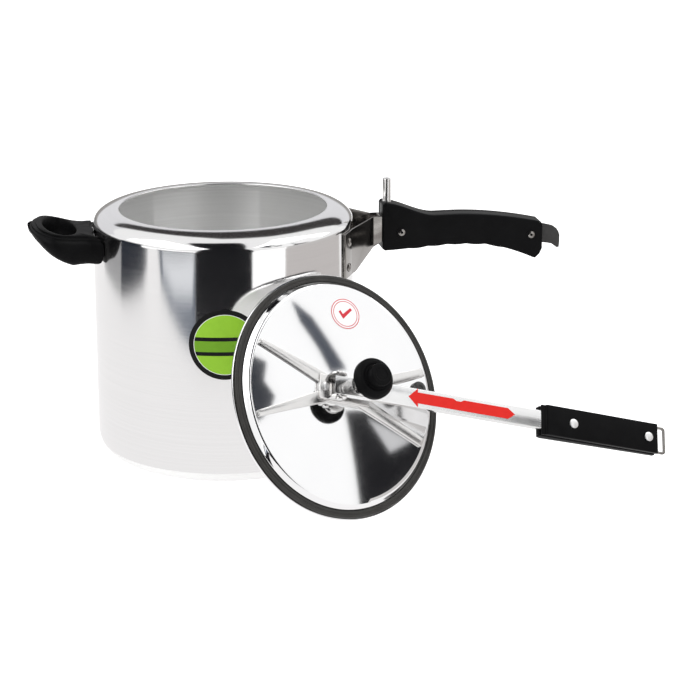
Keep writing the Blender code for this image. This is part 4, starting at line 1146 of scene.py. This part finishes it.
def make_cards():
    """White reflectors and dark gaps between them, as polished metal needs."""
    black, ink = (0.010, 0.010, 0.012), (0.022, 0.026, 0.036)
    floor = 0.003
    card("near_floor", [(-1.2, -1.2, 0.0015), (1.2, -1.2, 0.0015), (1.2, 0.9, 0.0015),
                        (-1.2, 0.9, 0.0015)], (1.0, 0.99, 0.99), 0.99)
    card("front_gap", [(-0.25, -0.40, floor), (-1.50, -2.45, floor), (0.75, -2.50, floor),
                       (0.10, -0.455, floor), (-0.08, -0.447, floor)], black)
    card("front_wall", [(-1.50, -2.45, floor), (-1.30, -2.45, 2.8), (0.60, -2.50, 2.8),
                        (0.75, -2.50, floor)], black)
    card("top_gap", [(-1.30, -2.45, 2.8), (-0.66, 0.2, 2.8), (-0.58, 0.50, 2.8), (-0.4, 0.62, 2.8),
                     (0.2, 0.62, 2.8), (0.36, 0.5, 2.8), (0.40, 0.2, 2.8), (0.60, -2.50, 2.8)], black)
    card("left_gap", [(-0.61, -0.334, floor), (-0.72, -0.364, floor), (-0.43, -0.69, floor),
                      (-0.25, -0.398, floor)], (0.10, 0.125, 0.17))
    card("left_patch", [(-0.63, -0.375, 0.005), (-0.72, -0.41, 0.005), (-0.45, -0.72, 0.005),
                        (-0.36, -0.53, 0.005), (-0.49, -0.42, 0.005)], (0.95, 0.97, 1.0))
    card("left_streak", [(-0.72, -0.36, floor), (-1.00, -0.44, floor), (-0.64, -0.98, floor),
                         (-0.43, -0.70, floor)], (0.16, 0.17, 0.19))
    card("side_gap", [(-0.575, 0.145, floor), (-1.0, 0.25, floor), (-1.04, -0.17, floor),
                      (-0.76, -0.23, floor), (-0.66, -0.13, floor), (-0.61, 0.03, floor)], ink)
    card("side_wall", [(-1.0, 0.25, 0), (-1.0, 0.25, 0.40), (-1.04, -0.18, 0.46), (-1.04, -0.18, 0)],
         ink)
    card("side_grey", [(-0.575, 0.145, floor), (-1.0, 0.25, floor), (-0.80, 0.70, floor),
                       (-0.54, 0.49, floor), (-0.51, 0.434, floor), (-0.55, 0.288, floor)],
         (0.38, 0.38, 0.385))
    card("far_grey", [(-1.0, 0.25, 0), (-1.0, 0.25, 0.34), (-0.3, 1.1, 0.26), (-0.3, 1.1, 0)],
         (0.24, 0.24, 0.24))
    card("right_warm", [(0.34, -0.40, floor), (0.80, -0.80, floor), (1.10, -0.2, floor),
                        (1.05, 0.35, floor), (0.50, 0.15, floor)], (0.60, 0.57, 0.56))
    card("right_wall", [(0.86, -0.86, 0), (0.86, -0.86, 0.42), (1.2, -0.1, 0.38), (1.15, 0.38, 0.3),
                        (1.15, 0.38, 0)], (0.62, 0.60, 0.59))
    card("right_bright", [(0.10, -0.455, floor), (0.24, -0.90, floor), (0.72, -0.72, floor),
                          (0.34, -0.40, floor)], (1.0, 1.0, 1.0), 1.35)
    card("back_gap", [(-0.62, 1.9, 1.35), (-0.10, 1.9, 1.14), (0.51, 1.9, 1.08), (1.10, 1.9, 1.16),
                      (2.11, 1.9, 1.28), (2.11, 1.9, 1.65), (1.19, 1.9, 2.08), (0.85, 1.9, 2.77),
                      (0.27, 1.9, 2.84), (0.10, 1.9, 2.31), (-0.13, 1.9, 1.92), (-0.47, 1.9, 1.62),
                      (-0.62, 1.9, 1.50)], (0.045, 0.042, 0.042))
    card("back_wall", [(-3.0, 2.2, 0), (-3.0, 2.2, 1.9), (3.0, 2.2, 1.9), (3.0, 2.2, 0)],
         (0.80, 0.80, 0.82))
    card("back_low", [(-3.0, 2.15, 0), (-3.0, 2.15, 0.5), (3.0, 2.15, 0.5), (3.0, 2.15, 0)],
         (0.34, 0.33, 0.32))
    for side in (-1, 1):
        card("softbox_%s" % ("left" if side < 0 else "right"),
             [(side * 0.85, -2.0, 2.5), (side * 2.6, -2.0, 1.6), (side * 2.6, 0.8, 1.6),
              (side * 0.85, 0.8, 2.5)], (1, 1, 1), 2.6)
    lid_card("lid_white", [(-0.9, -0.6), (0.8, -0.6), (0.8, 0.7), (-0.9, 0.7)], 1.7, (1, 1, 1), 1.05)
    lid_card("lid_wedge", [(0.049, 0.362), (0.076, 0.265), (0.067, 0.05), (0.0, 0.08),
                           (0.014, 0.174), (0.019, 0.284)], 1.5, (0.040, 0.048, 0.070))
    lid_card("lid_fan", [(-0.039, -0.053), (-0.184, -0.347), (-0.20, -0.43), (0.02, -0.43),
                         (0.20, -0.42), (0.32, -0.38), (0.224, -0.309), (0.042, -0.10)], 1.5, black)
    lid_card("lid_triangle", [(0.03, -0.124), (0.157, -0.291), (0.047, -0.271)], 1.45,
             (0.62, 0.62, 0.63))
    lid_card("lid_grey", [(0.077, -0.105), (0.313, -0.263), (0.28, -0.33), (0.23, -0.301)], 1.45,
             (0.52, 0.50, 0.49))
    lid_card("lid_left", [(-0.252, 0.353), (-0.205, 0.27), (-0.262, 0.229), (-0.262, 0.16),
                          (-0.311, 0.136), (-0.375, 0.136), (-0.47, 0.19), (-0.40, 0.36)], 1.5,
             (0.03, 0.033, 0.042))
    lid_card("lid_rim_dark", [(-0.62, 0.20), (-0.50, 0.20), (-0.42, 0.50), (-0.10, 0.66),
                              (0.05, 0.70), (-0.2, 0.85), (-0.62, 0.7)], 1.5, (0.06, 0.06, 0.065))


def main():
    pot_metal = polished_pot()
    satin = turned_aluminium()
    mirror = polished_lid()
    steel = bright_steel("bright_steel", None, (0.74, 0.73, 0.72))
    lid_steel = bright_steel("lid_steel", LID, (0.80, 0.79, 0.78))
    lever_steel = bright_steel("lever_steel", LEVER, (0.90, 0.90, 0.90))
    bakelite = black_bakelite("black_bakelite", 0.22)
    matt = black_bakelite("matt_bakelite", 0.34)
    black_steel = blackened_steel()
    rubber = grey_rubber()
    bright = rivet_aluminium()
    make_pot(pot_metal, satin)
    make_label(printed("label_ink", (0.006, 0.006, 0.006), (0.012, 0.012, 0.012)),
               printed("label_green", (0.27, 0.53, 0.035)),
               printed("label_dark_green", (0.15, 0.34, 0.02)),
               printed("label_white", (0.85, 0.85, 0.85)))
    # painted shade: the bright steel darkened to less than half, standing in for the shade the bracket sits
    # in under the grip; the handle's screws and nuts and the lever's loop take the same darkened steel
    painted_shade_steel = bright_steel("painted_shade_steel", None, (0.34, 0.325, 0.31))
    make_handle(bakelite, steel, black_steel, painted_shade_steel)
    make_bracket(painted_shade_steel)
    make_helper(matt)
    make_lid(mirror, satin, rubber)
    make_brace(lid_steel)
    make_lid_fittings(lid_steel, bright, valve_metal())
    make_lever(lever_steel, bakelite, bright, painted_shade_steel)
    make_arrow(printed("arrow_red", (0.68, 0.008, 0.003)), printed("arrow_pale", (0.75, 0.16, 0.06)))
    make_tick(printed("sticker_white", (0.9, 0.9, 0.9)), printed("sticker_red", (0.62, 0.03, 0.05)),
              printed("sticker_grey", (0.4, 0.4, 0.4)))
    make_weight(lid_steel, matt)
    for node, look in (("helper_plate", steel), ("helper_rivet_1", steel), ("helper_rivet_2", steel),
                       ("helper_screw", steel), ("vent_nut", lid_steel), ("safety_valve_nut", lid_steel)):
        for slot in frame["nodes"][node].material_slots:
            slot.material = look
    make_floor()
    make_lights()
    make_cards()
    make_camera()


main()
